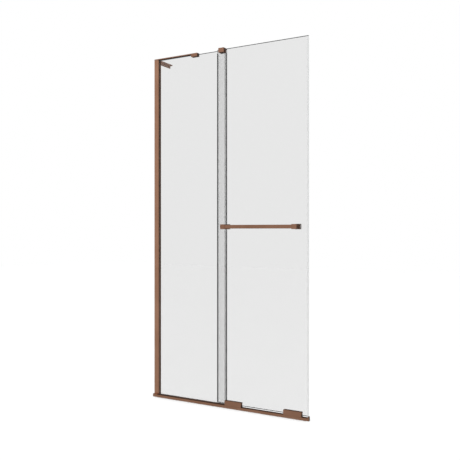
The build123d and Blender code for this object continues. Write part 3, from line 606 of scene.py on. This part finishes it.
cap_low, cap_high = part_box("free_end_cap")
guard_left = cap_high.x - 7.0 * MM
front_corner, rear_corner = 1.0 * MM, 14.0 * MM
cap = new_block((rail_high.x, cap_low.y, cap_low.z), (cap_high.x, cap_high.y, rail_high.z))
for side, radius in ((cap_low.y, front_corner), (cap_high.y, rear_corner)):
    soften(cap, radius, 12, meets(runs_along("z"), lies_at("x", cap_high.x), lies_at("y", side)))
top = face_towards(cap, "z", 1)
bmesh.ops.bisect_plane(cap, geom=[top] + list(top.edges) + list(top.verts),
                       plane_co=Vector((guard_left, 0, 0)), plane_no=AXES["x"])
guard = [face for face in cap.faces if face.normal.z > ALIGNED and face.calc_center_median().x > guard_left]
pull(cap, guard, (0, 0, cap_high.z - rail_high.z), opened=True)
turn_outwards(cap)
soften(cap, 0.4 * MM, 3)
copper_piece(cap, "free_end_guard", STILL, "free_end_cap")

# %% [markdown]
# Behind the rail, a U-shaped channel holds the fixed pane's bottom edge. It is again one outline pulled
# along X. A small plastic plug closes its free end.

# %% Glass channel and its plug
channel_wall = 1.5 * MM
channel_floor = 2.0 * MM
channel = bmesh.new()
add_profile(channel, "x", [
    (channel_low.y, channel_low.z), (channel_high.y, channel_low.z), (channel_high.y, channel_high.z),
    (channel_high.y - channel_wall, channel_high.z), (channel_high.y - channel_wall, channel_floor),
    (channel_low.y + channel_wall, channel_floor), (channel_low.y + channel_wall, channel_high.z),
    (channel_low.y, channel_high.z)], channel_low.x, channel_high.x)
soften(channel, 0.3 * MM, 2, runs_along("x"))
copper_piece(channel, "glass_base_channel", STILL, "glass_channel")

plug_low, plug_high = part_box("channel_end_plug")
plug = new_block(plug_low, plug_high)
soften(plug, 1.0 * MM, 4, runs_along("x"))
soften(plug, 0.3 * MM, 2)
finish_piece(plug, "channel_plug", STILL, "dark_plastic", "dark_plastic", "channel_end_plug")

# %% [markdown]
# The wall post is the tallest profile. In plan it is a shell that is open to the wall, with a deep pocket
# on its other side that swallows the edge of the glass. All of that is in one outline of sixteen points.
# Only the two outer corners that people see and touch are rounded generously.

# %% Wall post
post_low, post_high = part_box("wall_post")
post_wall = 1.6 * MM
pocket_gap = 1.1 * MM
pocket_front = fixed_low.y - pocket_gap
pocket_back = fixed_high.y + pocket_gap
pocket_floor = post_high.x - 18.5 * MM
pocket_wall = 1.4 * MM
post = bmesh.new()
add_profile(post, "z", [
    (post_low.x, post_low.y), (post_high.x, post_low.y), (post_high.x, pocket_front),
    (pocket_floor, pocket_front), (pocket_floor, pocket_back), (post_high.x, pocket_back),
    (post_high.x, post_high.y), (post_low.x, post_high.y), (post_low.x, post_high.y - post_wall),
    (post_high.x - post_wall, post_high.y - post_wall), (post_high.x - post_wall, pocket_back + pocket_wall),
    (pocket_floor - pocket_wall, pocket_back + pocket_wall),
    (pocket_floor - pocket_wall, pocket_front - pocket_wall),
    (post_high.x - post_wall, pocket_front - pocket_wall), (post_high.x - post_wall, post_low.y + post_wall),
    (post_low.x, post_low.y + post_wall)], post_low.z, post_high.z)
soften(post, 1.0 * MM, 4, meets(
    runs_along("z"), lies_at("x", post_high.x), lies_at("y", post_low.y, post_high.y)))
soften(post, 0.25 * MM, 2, runs_along("z"))
finish_piece(post, "wall_post_profile", STILL, "copper_z", "copper", "wall_post")

# %% [markdown]
# The stabiliser is a flat bar from the wall to a clamp on the fixed pane, and an angle that runs along
# the wall. The bar lies half over a tongue of the angle, which is why its outline, drawn across Y, has a
# step. Countersunk screws close both joints. Each countersink is a ring of edges that is extruded down
# and scaled in, so the screw heads sit flush as they do on the real bar.

# %% Stabiliser bar and wall angle
bar_low, bar_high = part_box("stabiliser_bar")
angle_low, angle_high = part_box("wall_angle")
clamp_low, clamp_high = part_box("stabiliser_clamp")
lap_top = bar_low.z + 2.7 * MM
screw_inset = 6.8 * MM
head_radius, shank_radius, head_depth = 3.82 * MM, 2.02 * MM, 2.2 * MM
tongue_inset = 2.0 * MM
tongue_hole = 5.3 * MM
LEFTOVER = 0.05 * MM

bar = bmesh.new()
add_profile(bar, "y", [
    (bar_low.x, lap_top), (bar_low.x, bar_high.z), (clamp_low.x, bar_high.z),
    (clamp_low.x, bar_low.z), (angle_high.x, bar_low.z), (angle_high.x, lap_top)], bar_low.y, bar_high.y)
soften(bar, 0.4 * MM, 3, runs_along("x"))
soften(bar, 0.3 * MM, 2, meets(runs_along("y"), lies_at("z", bar_high.z)))
screw_lines = (bar_low.y + screw_inset, bar_high.y - screw_inset)
sink_holes(bar, face_towards(bar, "z", 1),
           [Vector(((bar_low.x + angle_high.x) / 2, y, bar_high.z)) for y in screw_lines],
           (head_radius, shank_radius, shank_radius), (head_depth, bar_high.z - lap_top - LEFTOVER))
tongue = new_block((clamp_low.x, bar_low.y + tongue_inset, bar_low.z),
                   (bar_high.x, bar_high.y - tongue_inset, bar_high.z))
sink_holes(tongue, face_towards(tongue, "z", 1),
           [Vector(((clamp_low.x + bar_high.x) / 2, y, bar_high.z)) for y in screw_lines],
           (head_radius, shank_radius, shank_radius), (head_depth, tongue_hole))
join_shape(bar, tongue)
copper_piece(bar, "flat_stabiliser_bar", STILL, "stabiliser_bar")

angle = bmesh.new()
flange = 4.0 * MM
add_profile(angle, "y", [
    (angle_low.x, angle_low.z), (angle_low.x, angle_high.z), (angle_high.x, angle_high.z),
    (angle_high.x, bar_low.z), (angle_low.x + flange, bar_low.z), (angle_low.x + flange, angle_low.z)],
    bar_high.y, angle_high.y)
soften(angle, 0.5 * MM, 3)
hole_height = (angle_low.z + bar_low.z) / 2 + 0.5 * MM
hole_steps = (35.0 * MM, 105.0 * MM)
hole_radius, hole_depth = 2.75 * MM, 3.9 * MM
sink_holes(angle, face_towards(angle, "x", 1),
           [Vector((angle_low.x + flange, bar_high.y + step, hole_height)) for step in hole_steps],
           (hole_radius, hole_radius), (hole_depth,))
add_block(angle, (angle_low.x, angle_low.y, bar_low.z), (angle_high.x, bar_high.y, lap_top))
finish_piece(angle, "wall_side_angle", STILL, "copper_y", "copper", "wall_angle")

# %% [markdown]
# The clamp at the bar's end is a block with a slot for the glass and its rubber pad. Its outline across X
# is an upside-down U, and on top it has the pocket that takes the bar's tongue. The guide clamp at the
# pane's top corner works in the same way but has two slots: one grips the fixed pane, and the sliding
# pane runs through the other, in a slippery plastic lining.

# %% Clamps on the glass
GRUB_RADIUS = 2.52 * MM


def grub_holes(shape, low, high, pad_back, aside, above):
    """Two holes in the rear face, down to the pad, for the grub screws that press it on the glass."""
    middle = (low.x + high.x) / 2
    sink_holes(shape, face_towards(shape, "y", 1),
               [Vector((middle + way * aside, high.y, low.z + above)) for way in (-1, 1)],
               (GRUB_RADIUS, GRUB_RADIUS), (high.y - pad_back - LEFTOVER,))


pad_low, pad_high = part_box("stabiliser_clamp_pad")
cheek = 2.0 * MM
cheek_overlap = 0.1 * MM
slot_top = bar_low.z - 0.2 * MM
clamp = bmesh.new()
add_profile(clamp, "x", [
    (clamp_low.y, clamp_low.z), (clamp_low.y, clamp_high.z), (clamp_low.y + cheek, clamp_high.z),
    (clamp_low.y + cheek, bar_low.z), (clamp_high.y - cheek, bar_low.z),
    (clamp_high.y - cheek, clamp_high.z), (clamp_high.y, clamp_high.z), (clamp_high.y, clamp_low.z),
    (pad_high.y, clamp_low.z), (pad_high.y, slot_top), (pad_low.y, slot_top),
    (pad_low.y, clamp_low.z)], clamp_low.x, clamp_high.x)
soften(clamp, 1.2 * MM, 4, meets(runs_along("z"), lies_at("y", clamp_low.y, clamp_high.y)))
add_block(clamp, (bar_high.x, clamp_low.y + cheek - cheek_overlap, bar_low.z - cheek_overlap),
          (clamp_high.x, clamp_high.y - cheek + cheek_overlap, clamp_high.z))
grub_holes(clamp, clamp_low, clamp_high, pad_high.y, 10.0 * MM, 5.0 * MM)
copper_piece(clamp, "glass_top_clamp", STILL, "stabiliser_clamp")

guide_low, guide_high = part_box("guide_clamp")
guide_pad_low, guide_pad_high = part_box("guide_clamp_pad")
lining_low, lining_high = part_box("guide_insert")
guide = bmesh.new()
add_profile(guide, "x", [
    (guide_low.y, guide_low.z), (guide_low.y, guide_high.z), (guide_high.y, guide_high.z),
    (guide_high.y, guide_low.z), (guide_pad_high.y, guide_low.z), (guide_pad_high.y, guide_pad_high.z),
    (guide_pad_low.y, guide_pad_high.z), (guide_pad_low.y, guide_low.z), (lining_high.y, guide_low.z),
    (lining_high.y, lining_high.z), (lining_low.y, lining_high.z), (lining_low.y, guide_low.z)],
    guide_low.x, guide_high.x)
on_front_or_rear = lies_at("y", guide_low.y, guide_high.y)
on_top = lies_at("z", guide_high.z)
soften(guide, 1.2 * MM, 4, lambda edge: on_front_or_rear(edge) or on_top(edge))
grub_holes(guide, guide_low, guide_high, guide_pad_high.y, 9.0 * MM, 10.0 * MM)
copper_piece(guide, "glass_corner_guide", STILL, "guide_clamp")

# %% [markdown]
# The handle is a square bar between two blocks. A block starts as a cube with all its edges softened.
# Its socket is made from the face that looks at the bar: the face is inset, the new inner face is moved
# and scaled to the size of the bar, and then pushed in. The bar slides into that socket, so the shadow
# gap around it is real. Under each block is the hole of the screw that locks the bar.

# %% Handle
handle_low, handle_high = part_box("handle_bar")
SOCKET_GAP = 0.1 * MM
SOCKET_DEPTH = 8.1 * MM
LOCK_RADIUS, LOCK_DEPTH, LOCK_INSET = 2.02 * MM, 3.1 * MM, 4.0 * MM

grip = new_block(handle_low, handle_high)
soften(grip, 0.8 * MM, 4, runs_along("x"))
copper_piece(grip, "square_grip", DOOR, "handle_bar")


def push_socket(shape, face, low, high, depth):
    """Insets a face, fits the inner face to a rectangle and pushes it in."""
    inward = -face.normal.copy()
    bmesh.ops.inset_individual(shape, faces=[face], thickness=MM, depth=0.0)
    verts = list(face.verts)
    centre = face.calc_center_median()
    low, high = Vector(low), Vector(high)
    size = [max(vert.co[axis] for vert in verts) - min(vert.co[axis] for vert in verts) for axis in range(3)]
    ratio = Vector([(high[axis] - low[axis]) / size[axis] if size[axis] > MM / 10 else 1.0
                    for axis in range(3)])
    bmesh.ops.scale(shape, vec=ratio, verts=verts, space=Matrix.Translation(-centre))
    shift = (low + high) / 2 - centre
    shift -= inward * shift.dot(inward)
    bmesh.ops.translate(shape, vec=shift, verts=verts)
    pull(shape, [face], inward * depth, opened=True)


def handle_block(node, name, side, grub_x):
    """One end block: softened cube, socket on the side of the bar, grub screw hole below."""
    block_low, block_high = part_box(node)
    block = new_block(block_low, block_high)
    soften(block, 1.0 * MM, 4)
    mouth = face_towards(block, "x", side)
    low_corner = (mouth.verts[0].co.x, handle_low.y - SOCKET_GAP, handle_low.z - SOCKET_GAP)
    high_corner = (mouth.verts[0].co.x, handle_high.y + SOCKET_GAP, handle_high.z + SOCKET_GAP)
    push_socket(block, mouth, low_corner, high_corner, SOCKET_DEPTH)
    turn_outwards(block)
    grub = Vector((grub_x, (handle_low.y + handle_high.y) / 2, block_low.z))
    sink_holes(block, face_towards(block, "z", -1), [grub], (LOCK_RADIUS, LOCK_RADIUS), (LOCK_DEPTH,))
    copper_piece(block, name, DOOR, node)


handle_block("handle_block_left", "grip_block_left", 1, handle_low.x + LOCK_INSET)
handle_block("handle_block_right", "grip_block_right", -1, handle_high.x - LOCK_INSET)

# %% [markdown]
# Behind the glass the handle has two square plates, each with a countersunk screw through the glass. The
# roller carriers have a cover in front and a long clamp plate behind, with two such screws each. They are
# softened blocks with their countersinks sunk into the rear face.

# %% Rear plates
def rear_plate(shape, low, high, holes, radii, depth, width):
    """Adds one plate behind the glass with tapered holes in its rear face."""
    plate = new_block(low, high)
    soften(plate, width, 3, lambda edge: max(vert.co.y for vert in edge.verts) > high.y - MM / 10)
    sink_holes(plate, face_towards(plate, "y", 1), [Vector((x, high.y, z)) for x, z in holes],
               (radii[0], radii[1], radii[1]), (depth, high.y - low.y - LEFTOVER))
    join_shape(shape, plate)


handle_plate_low, handle_plate_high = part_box("handle_rear_plates")
plate_width = 32.0 * MM
handle_middle = (handle_plate_low.z + handle_plate_high.z) / 2
handle_plates = bmesh.new()
for left in (handle_plate_low.x, handle_plate_high.x - plate_width):
    rear_plate(handle_plates, Vector((left, handle_plate_low.y, handle_plate_low.z)),
               Vector((left + plate_width, handle_plate_high.y, handle_plate_high.z)),
               [(left + plate_width / 2, handle_middle)], (5.62 * MM, 3.02 * MM), 3.2 * MM, 1.0 * MM)
copper_piece(handle_plates, "grip_rear_plates", DOOR, "handle_rear_plates")

carrier_low, carrier_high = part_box("carrier_rear_plates")
carrier_length = 104.0 * MM
screw_height = 32.0 * MM
screw_step = 12.0 * MM
carrier_lefts = (carrier_low.x, carrier_high.x - carrier_length)
carrier_plates = bmesh.new()
for left in carrier_lefts:
    middle = left + carrier_length / 2
    rear_plate(carrier_plates, Vector((left, carrier_low.y, carrier_low.z)),
               Vector((left + carrier_length, carrier_high.y, carrier_high.z)),
               [(middle - screw_step, screw_height), (middle + screw_step, screw_height)],
               (4.62 * MM, 2.52 * MM), 2.6 * MM, 0.8 * MM)
copper_piece(carrier_plates, "carrier_clamp_plates", DOOR, "carrier_rear_plates")

# %% [markdown]
# A roller cover is a thin pressed shell: it is open behind and below, so the wheels can sit inside it.
# The front and its borders start as a block without those two faces, the front edges are softened, and a
# solidify step gives the sheet its thickness towards the inside. Each end wall is cut by two planes and
# loses one corner, which lets the cover pass over the running strip.


# %% Roller covers
STRIP_GAP = 0.6 * MM
SHEET = 1.2 * MM
notch_front = strip_low.y - STRIP_GAP
notch_top = strip_high.z + STRIP_GAP


def roller_cover(node, name):
    """One cover: a block open behind and below, softened in front, with a real wall thickness."""
    cover_low, cover_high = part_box(node)
    cover = new_block(cover_low, cover_high)
    soften(cover, 0.5 * MM, 3, lambda edge: min(vert.co.y for vert in edge.verts) < cover_low.y + MM / 10
           and max(vert.co.z for vert in edge.verts) > cover_low.z + MM)
    open_faces = [face for face in cover.faces if face.normal.y > ALIGNED or face.normal.z < -ALIGNED]
    bmesh.ops.delete(cover, geom=open_faces, context="FACES")
    for point, across in ((Vector((0, notch_front, 0)), AXES["y"]), (Vector((0, 0, notch_top)), AXES["z"])):
        ends = [face for face in cover.faces if abs(face.normal.x) > ALIGNED]
        edges = list({edge for face in ends for edge in face.edges})
        verts = list({vert for face in ends for vert in face.verts})
        bmesh.ops.bisect_plane(cover, geom=ends + edges + verts, plane_co=point, plane_no=across)
    notches = [face for face in cover.faces if abs(face.normal.x) > ALIGNED
               and face.calc_center_median().y > notch_front and face.calc_center_median().z < notch_top]
    bmesh.ops.delete(cover, geom=notches, context="FACES")
    bmesh.ops.solidify(cover, geom=list(cover.faces), thickness=SHEET)
    copper_piece(cover, name, DOOR, node)


roller_cover("carrier_cover_left", "roller_cover_left")
roller_cover("carrier_cover_right", "roller_cover_right")

# %% [markdown]
# Three long plastic seals close the gaps between the panes and at the free edge. Each is a clip that
# hugs the glass: a web across the edge and two thin legs. The legs are clear or lightly tinted. On the
# two inner seals, the web and the root of the slanted fin are near black. That is partly a smoke grey
# plastic and partly painted shade: it draws the thin dark upright lines along the glass edges. A seal is
# one outline in plan, pulled up along Z, and its faces then take one of the two finishes by where they
# lie. The legs stand a hair off the glass, because a renderer can't tell which of two surfaces in the
# same place comes first. The fin of the fixed seal is cut away at the height of the handle and above the
# rail, where the door's own pieces pass.

# %% Seals
SEAL_WALL = 0.9 * MM
LEG = 12.0 * MM
FIN = 0.9 * MM
LEAN = 2.5 * MM
AIR = 0.03 * MM


def clip_outline(edge_x, outward, tip, front, back, leg):
    """The plan of a clip round a glass edge at edge_x: web outside it, legs along both faces."""
    outer = edge_x + outward * tip
    inner = edge_x - outward * leg
    edge_x += outward * AIR
    return [(outer, front - SEAL_WALL), (inner, front - SEAL_WALL), (inner, front - AIR),
            (edge_x, front - AIR), (edge_x, back + AIR), (inner, back + AIR),
            (inner, back + SEAL_WALL), (outer, back + SEAL_WALL)]


def two_tone(piece, second, chosen):
    """Gives a second finish to the faces that a test on their centre chooses."""
    piece.data.materials.append(finishes[second])
    for polygon in piece.data.polygons:
        if chosen(polygon.center):
            polygon.material_index = 1


door_low, door_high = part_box("sliding_pane")
trail_low, trail_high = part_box("trailing_edge_seal")
trail = bmesh.new()
web_x = door_low.x - MM
root = door_high.y + SEAL_WALL
halfway = (root + trail_high.y) / 2
plan = clip_outline(door_low.x, -1.0, MM, door_low.y, door_high.y, LEG - MM)
plan[-1:] = [(web_x + FIN, root), (web_x + LEAN / 2 + FIN, halfway), (web_x + LEAN + FIN, trail_high.y),
             (web_x + LEAN, trail_high.y), (web_x + LEAN / 2, halfway), (web_x, root)]
add_profile(trail, "z", plan, trail_low.z, trail_high.z)
soften(trail, 0.12 * MM, 1, runs_along("z"))
trail_piece = finish_piece(trail, "trailing_lip_seal", DOOR, "clear_seal", "clear_seal", "trailing_edge_seal")
# The web and the fin's root take the near-black tone, which is partly painted shade.
two_tone(trail_piece, "smoke_seal_with_painted_shade", lambda place: place.y < halfway and (
    place.x < door_low.x + 0.05 * MM or place.y > root + MM / 10))

fixed_seal_low, fixed_seal_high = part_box("fixed_edge_seal")
notch_low = handle_plate_low.z - 3.0 * MM
notch_high = handle_plate_high.z + 3.0 * MM
web_x = fixed_high.x + MM
root = fixed_low.y - SEAL_WALL
clip_foot = channel_high.z + MM
fixed_seal = bmesh.new()
add_profile(fixed_seal, "z", clip_outline(fixed_high.x, 1.0, MM, fixed_low.y, fixed_high.y, LEG),
            clip_foot, fixed_seal_high.z)
fin = [(web_x - FIN, root + SEAL_WALL / 2), (web_x, root + SEAL_WALL / 2), (web_x, root),
       (web_x + LEAN, fixed_seal_low.y), (web_x + LEAN - FIN, fixed_seal_low.y), (web_x - FIN, root)]
for start, end in ((fixed_seal_low.z, notch_low), (notch_high, fixed_seal_high.z)):
    add_profile(fixed_seal, "z", fin, start, end)
soften(fixed_seal, 0.12 * MM, 1, runs_along("z"))
fixed_piece = finish_piece(
    fixed_seal, "fixed_lip_seal", STILL, "tinted_seal", "clear_seal", "fixed_edge_seal")
# The web and the fin's root take the near-black tone, which is partly painted shade.
two_tone(fixed_piece, "smoke_seal_with_painted_shade", lambda place: place.x > fixed_high.x - 0.05 * MM and place.y > root - MM)

lead_low, lead_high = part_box("leading_edge_seal")
lead = bmesh.new()
plan = clip_outline(door_high.x, 1.0, MM, door_low.y, door_high.y, 8.0 * MM)
web_x = door_high.x + MM
plan[0:1] = [(lead_high.x, -MM), (web_x, door_low.y), (web_x, door_low.y - SEAL_WALL)]
plan[-1:] = [(web_x, door_high.y + SEAL_WALL), (web_x, door_high.y), (lead_high.x, MM)]
add_profile(lead, "z", plan, lead_low.z, lead_high.z)
soften(lead, 0.3 * MM, 2, runs_along("z"))
finish_piece(lead, "leading_soft_edge", DOOR, "clear_seal", "clear_seal", "leading_edge_seal")

# %% [markdown]
# The four wheels are turned parts, so each is a half section that is spun round its axle. The section is
# a flat ring with a square groove, and the bottom corners of the groove are bevelled until it is round
# and fits the running strip. The ball bearings are spun in the same way, with a sunken shield on each
# side between two rings.


# %% Wheels and bearings
def turned(section, centre):
    """Spins a closed half section, given as radius and place along the axle, round the Y direction."""
    shape = bmesh.new()
    corners = [shape.verts.new((centre.x + radius, centre.y + along, centre.z)) for radius, along in section]
    edges = [shape.edges.new((corners[i - 1], corners[i])) for i in range(len(corners))]
    bmesh.ops.spin(shape, geom=corners + edges, cent=centre, axis=AXES["y"], angle=math.tau, steps=64,
                   use_merge=True, use_duplicate=False)
    turn_outwards(shape)
    return shape


groove, groove_floor = 1.5 * MM, 9.0 * MM
bore, inner_ring, outer_ring, shield = 2.04 * MM, 3.2 * MM, 4.8 * MM, 0.3 * MM
for number in range(1, 5):
    body = f"roller_{number}"
    wheel_low, wheel_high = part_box(f"roller_wheel_{number}")
    bearing_low, bearing_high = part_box(f"roller_bearing_{number}")
    axle = (wheel_low + wheel_high) / 2
    outer = (wheel_high.x - wheel_low.x) / 2
    half = (wheel_high.y - wheel_low.y) / 2
    race = (bearing_high.x - bearing_low.x) / 2
    wheel = turned([(race, -half), (outer, -half), (outer, -groove), (groove_floor, -groove),
                    (groove_floor, groove), (outer, groove), (outer, half), (race, half)], axle)
    rings = [edge for edge in wheel.edges if not edge.is_convex and edge.calc_face_angle() > 1.0]
    bmesh.ops.bevel(wheel, geom=rings, offset=1.4 * MM, offset_type="OFFSET", segments=5, profile=0.5,
                    affect="EDGES", clamp_overlap=True, material=-1)
    soften(wheel, 0.2 * MM, 2)
    finish_piece(wheel, f"grooved_wheel_{number}", body, "nylon", "nylon", f"roller_wheel_{number}")

    reach = (bearing_high.y - bearing_low.y) / 2
    sunk = reach - shield
    half_section = [(bore, reach), (inner_ring, reach), (inner_ring, sunk), (outer_ring, sunk),
                    (outer_ring, reach), (race, reach)]
    mirrored_half = [(radius, -along) for radius, along in half_section]
    bearing = turned(mirrored_half + half_section[::-1], axle)
    soften(bearing, 0.1 * MM, 2)
    finish_piece(bearing, f"shielded_bearing_{number}", body, "steel", "steel", f"roller_bearing_{number}")

# %% [markdown]
# The studio is a pale floor and a soft room of light. Glass and the floor see plain white all round, as
# in a product picture on a white ground. Metal would look flat in that, so light that has been mirrored
# at least once comes from a room that is bright on the camera's side and dim behind the screen: faces
# towards us turn warm and bright, and the ends and top edges that mirror the back of the room turn dark,
# which gives the hardware its shape. The Light Path node counts the mirrorings.

# %% Studio world
ROOM_DEPTH = (0.60, 0.10)
ROOM_HEIGHT = (0.74, 1.14)
FLOOR_LIFT = 0.105

world = bpy.data.worlds.new("studio_room")
world.use_nodes = True
bpy.context.scene.world = world
room = world.node_tree
room.nodes.clear()
direction = add_node(room, "TexCoord")
parts = add_node(room, "SeparateXYZ")
rays = add_node(room, "LightPath")
white = add_node(room, "Background")
soft_box = add_node(room, "Background")
choose = add_node(room, "MixShader")
room_output = add_node(room, "OutputWorld")

room.links.new(direction.outputs["Generated"], parts.inputs["Vector"])
depth = add_range(room, parts.outputs["Y"], (-0.65, 0.45), ROOM_DEPTH, "SMOOTHSTEP")
height = add_range(room, parts.outputs["Z"], (-0.5, 0.5), ROOM_HEIGHT)
feed(room, soft_box.inputs["Strength"], add_math(room, "MULTIPLY", depth, height))
feed(room, white.inputs["Color"], (1.0, 1.0, 1.0, 1.0))
lifted = add_math(room, "MULTIPLY_ADD", rays.outputs["Is Diffuse Ray"], FLOOR_LIFT, 1.0)
feed(room, white.inputs["Strength"], lifted)
mirrored = add_math(room, "MINIMUM", rays.outputs["Glossy Depth"], 1.0)
for socket, value in enumerate((mirrored, white.outputs["Background"], soft_box.outputs["Background"])):
    feed(room, choose.inputs[socket], value)
room.links.new(choose.outputs["Shader"], room_output.inputs["Surface"])
print("room, front to back:", ROOM_DEPTH, "and low to high:", ROOM_HEIGHT)

# %% [markdown]
# The floor only has to be pale, flat and large. A wide soft lamp high on the free end's side lifts it to
# white. The photograph has hardly any shadow, only a thin soft line along the rail, so the rail is the
# one piece that keeps the room's light from the floor.

# %% Floor and lamp
floor_shape = bmesh.new()
bmesh.ops.create_grid(floor_shape, x_segments=1, y_segments=1, size=12.0)
floor_mesh = bpy.data.meshes.new("studio_floor")
floor_shape.to_mesh(floor_mesh)
floor_shape.free()
floor = bpy.data.objects.new("studio_floor", floor_mesh)
bpy.context.scene.collection.objects.link(floor)
floor.location.z = -0.5 * MM
floor_material, floor_tree, floor_shader = new_material("pale_floor")
floor_grain = add_noise(floor_tree, EVEN, 3.0, 2.0)
drive_colour(floor_tree, floor_shader, floor_grain, (0.915, 0.915, 0.915), (0.925, 0.925, 0.925))
floor_shader.inputs["Roughness"].default_value = 0.9
floor_shader.inputs["Specular IOR Level"].default_value = 0.0
floor_mesh.materials.append(floor_material)
floor.visible_glossy = False
for piece in bpy.context.scene.objects:
    if piece.type == "MESH" and piece != floor:
        piece.visible_diffuse = piece.name == "rail_extrusion"

lamp_data = bpy.data.lights.new("soft_lamp", "AREA")
lamp_data.shape = "RECTANGLE"
lamp_data.size = 3.0
lamp_data.size_y = 3.0
lamp_data.energy = 14.0
lamp = bpy.data.objects.new("soft_lamp", lamp_data)
lamp.location = (3.6, -2.6, 4.2)
lamp.rotation_euler = (Vector((0.0, 0.0, 0.6)) - lamp.location).to_track_quat("-Z", "Y").to_euler()
lamp.visible_glossy = False
bpy.context.scene.collection.objects.link(lamp)
print("floor at", floor.location.z, "lamp", lamp_data.energy)
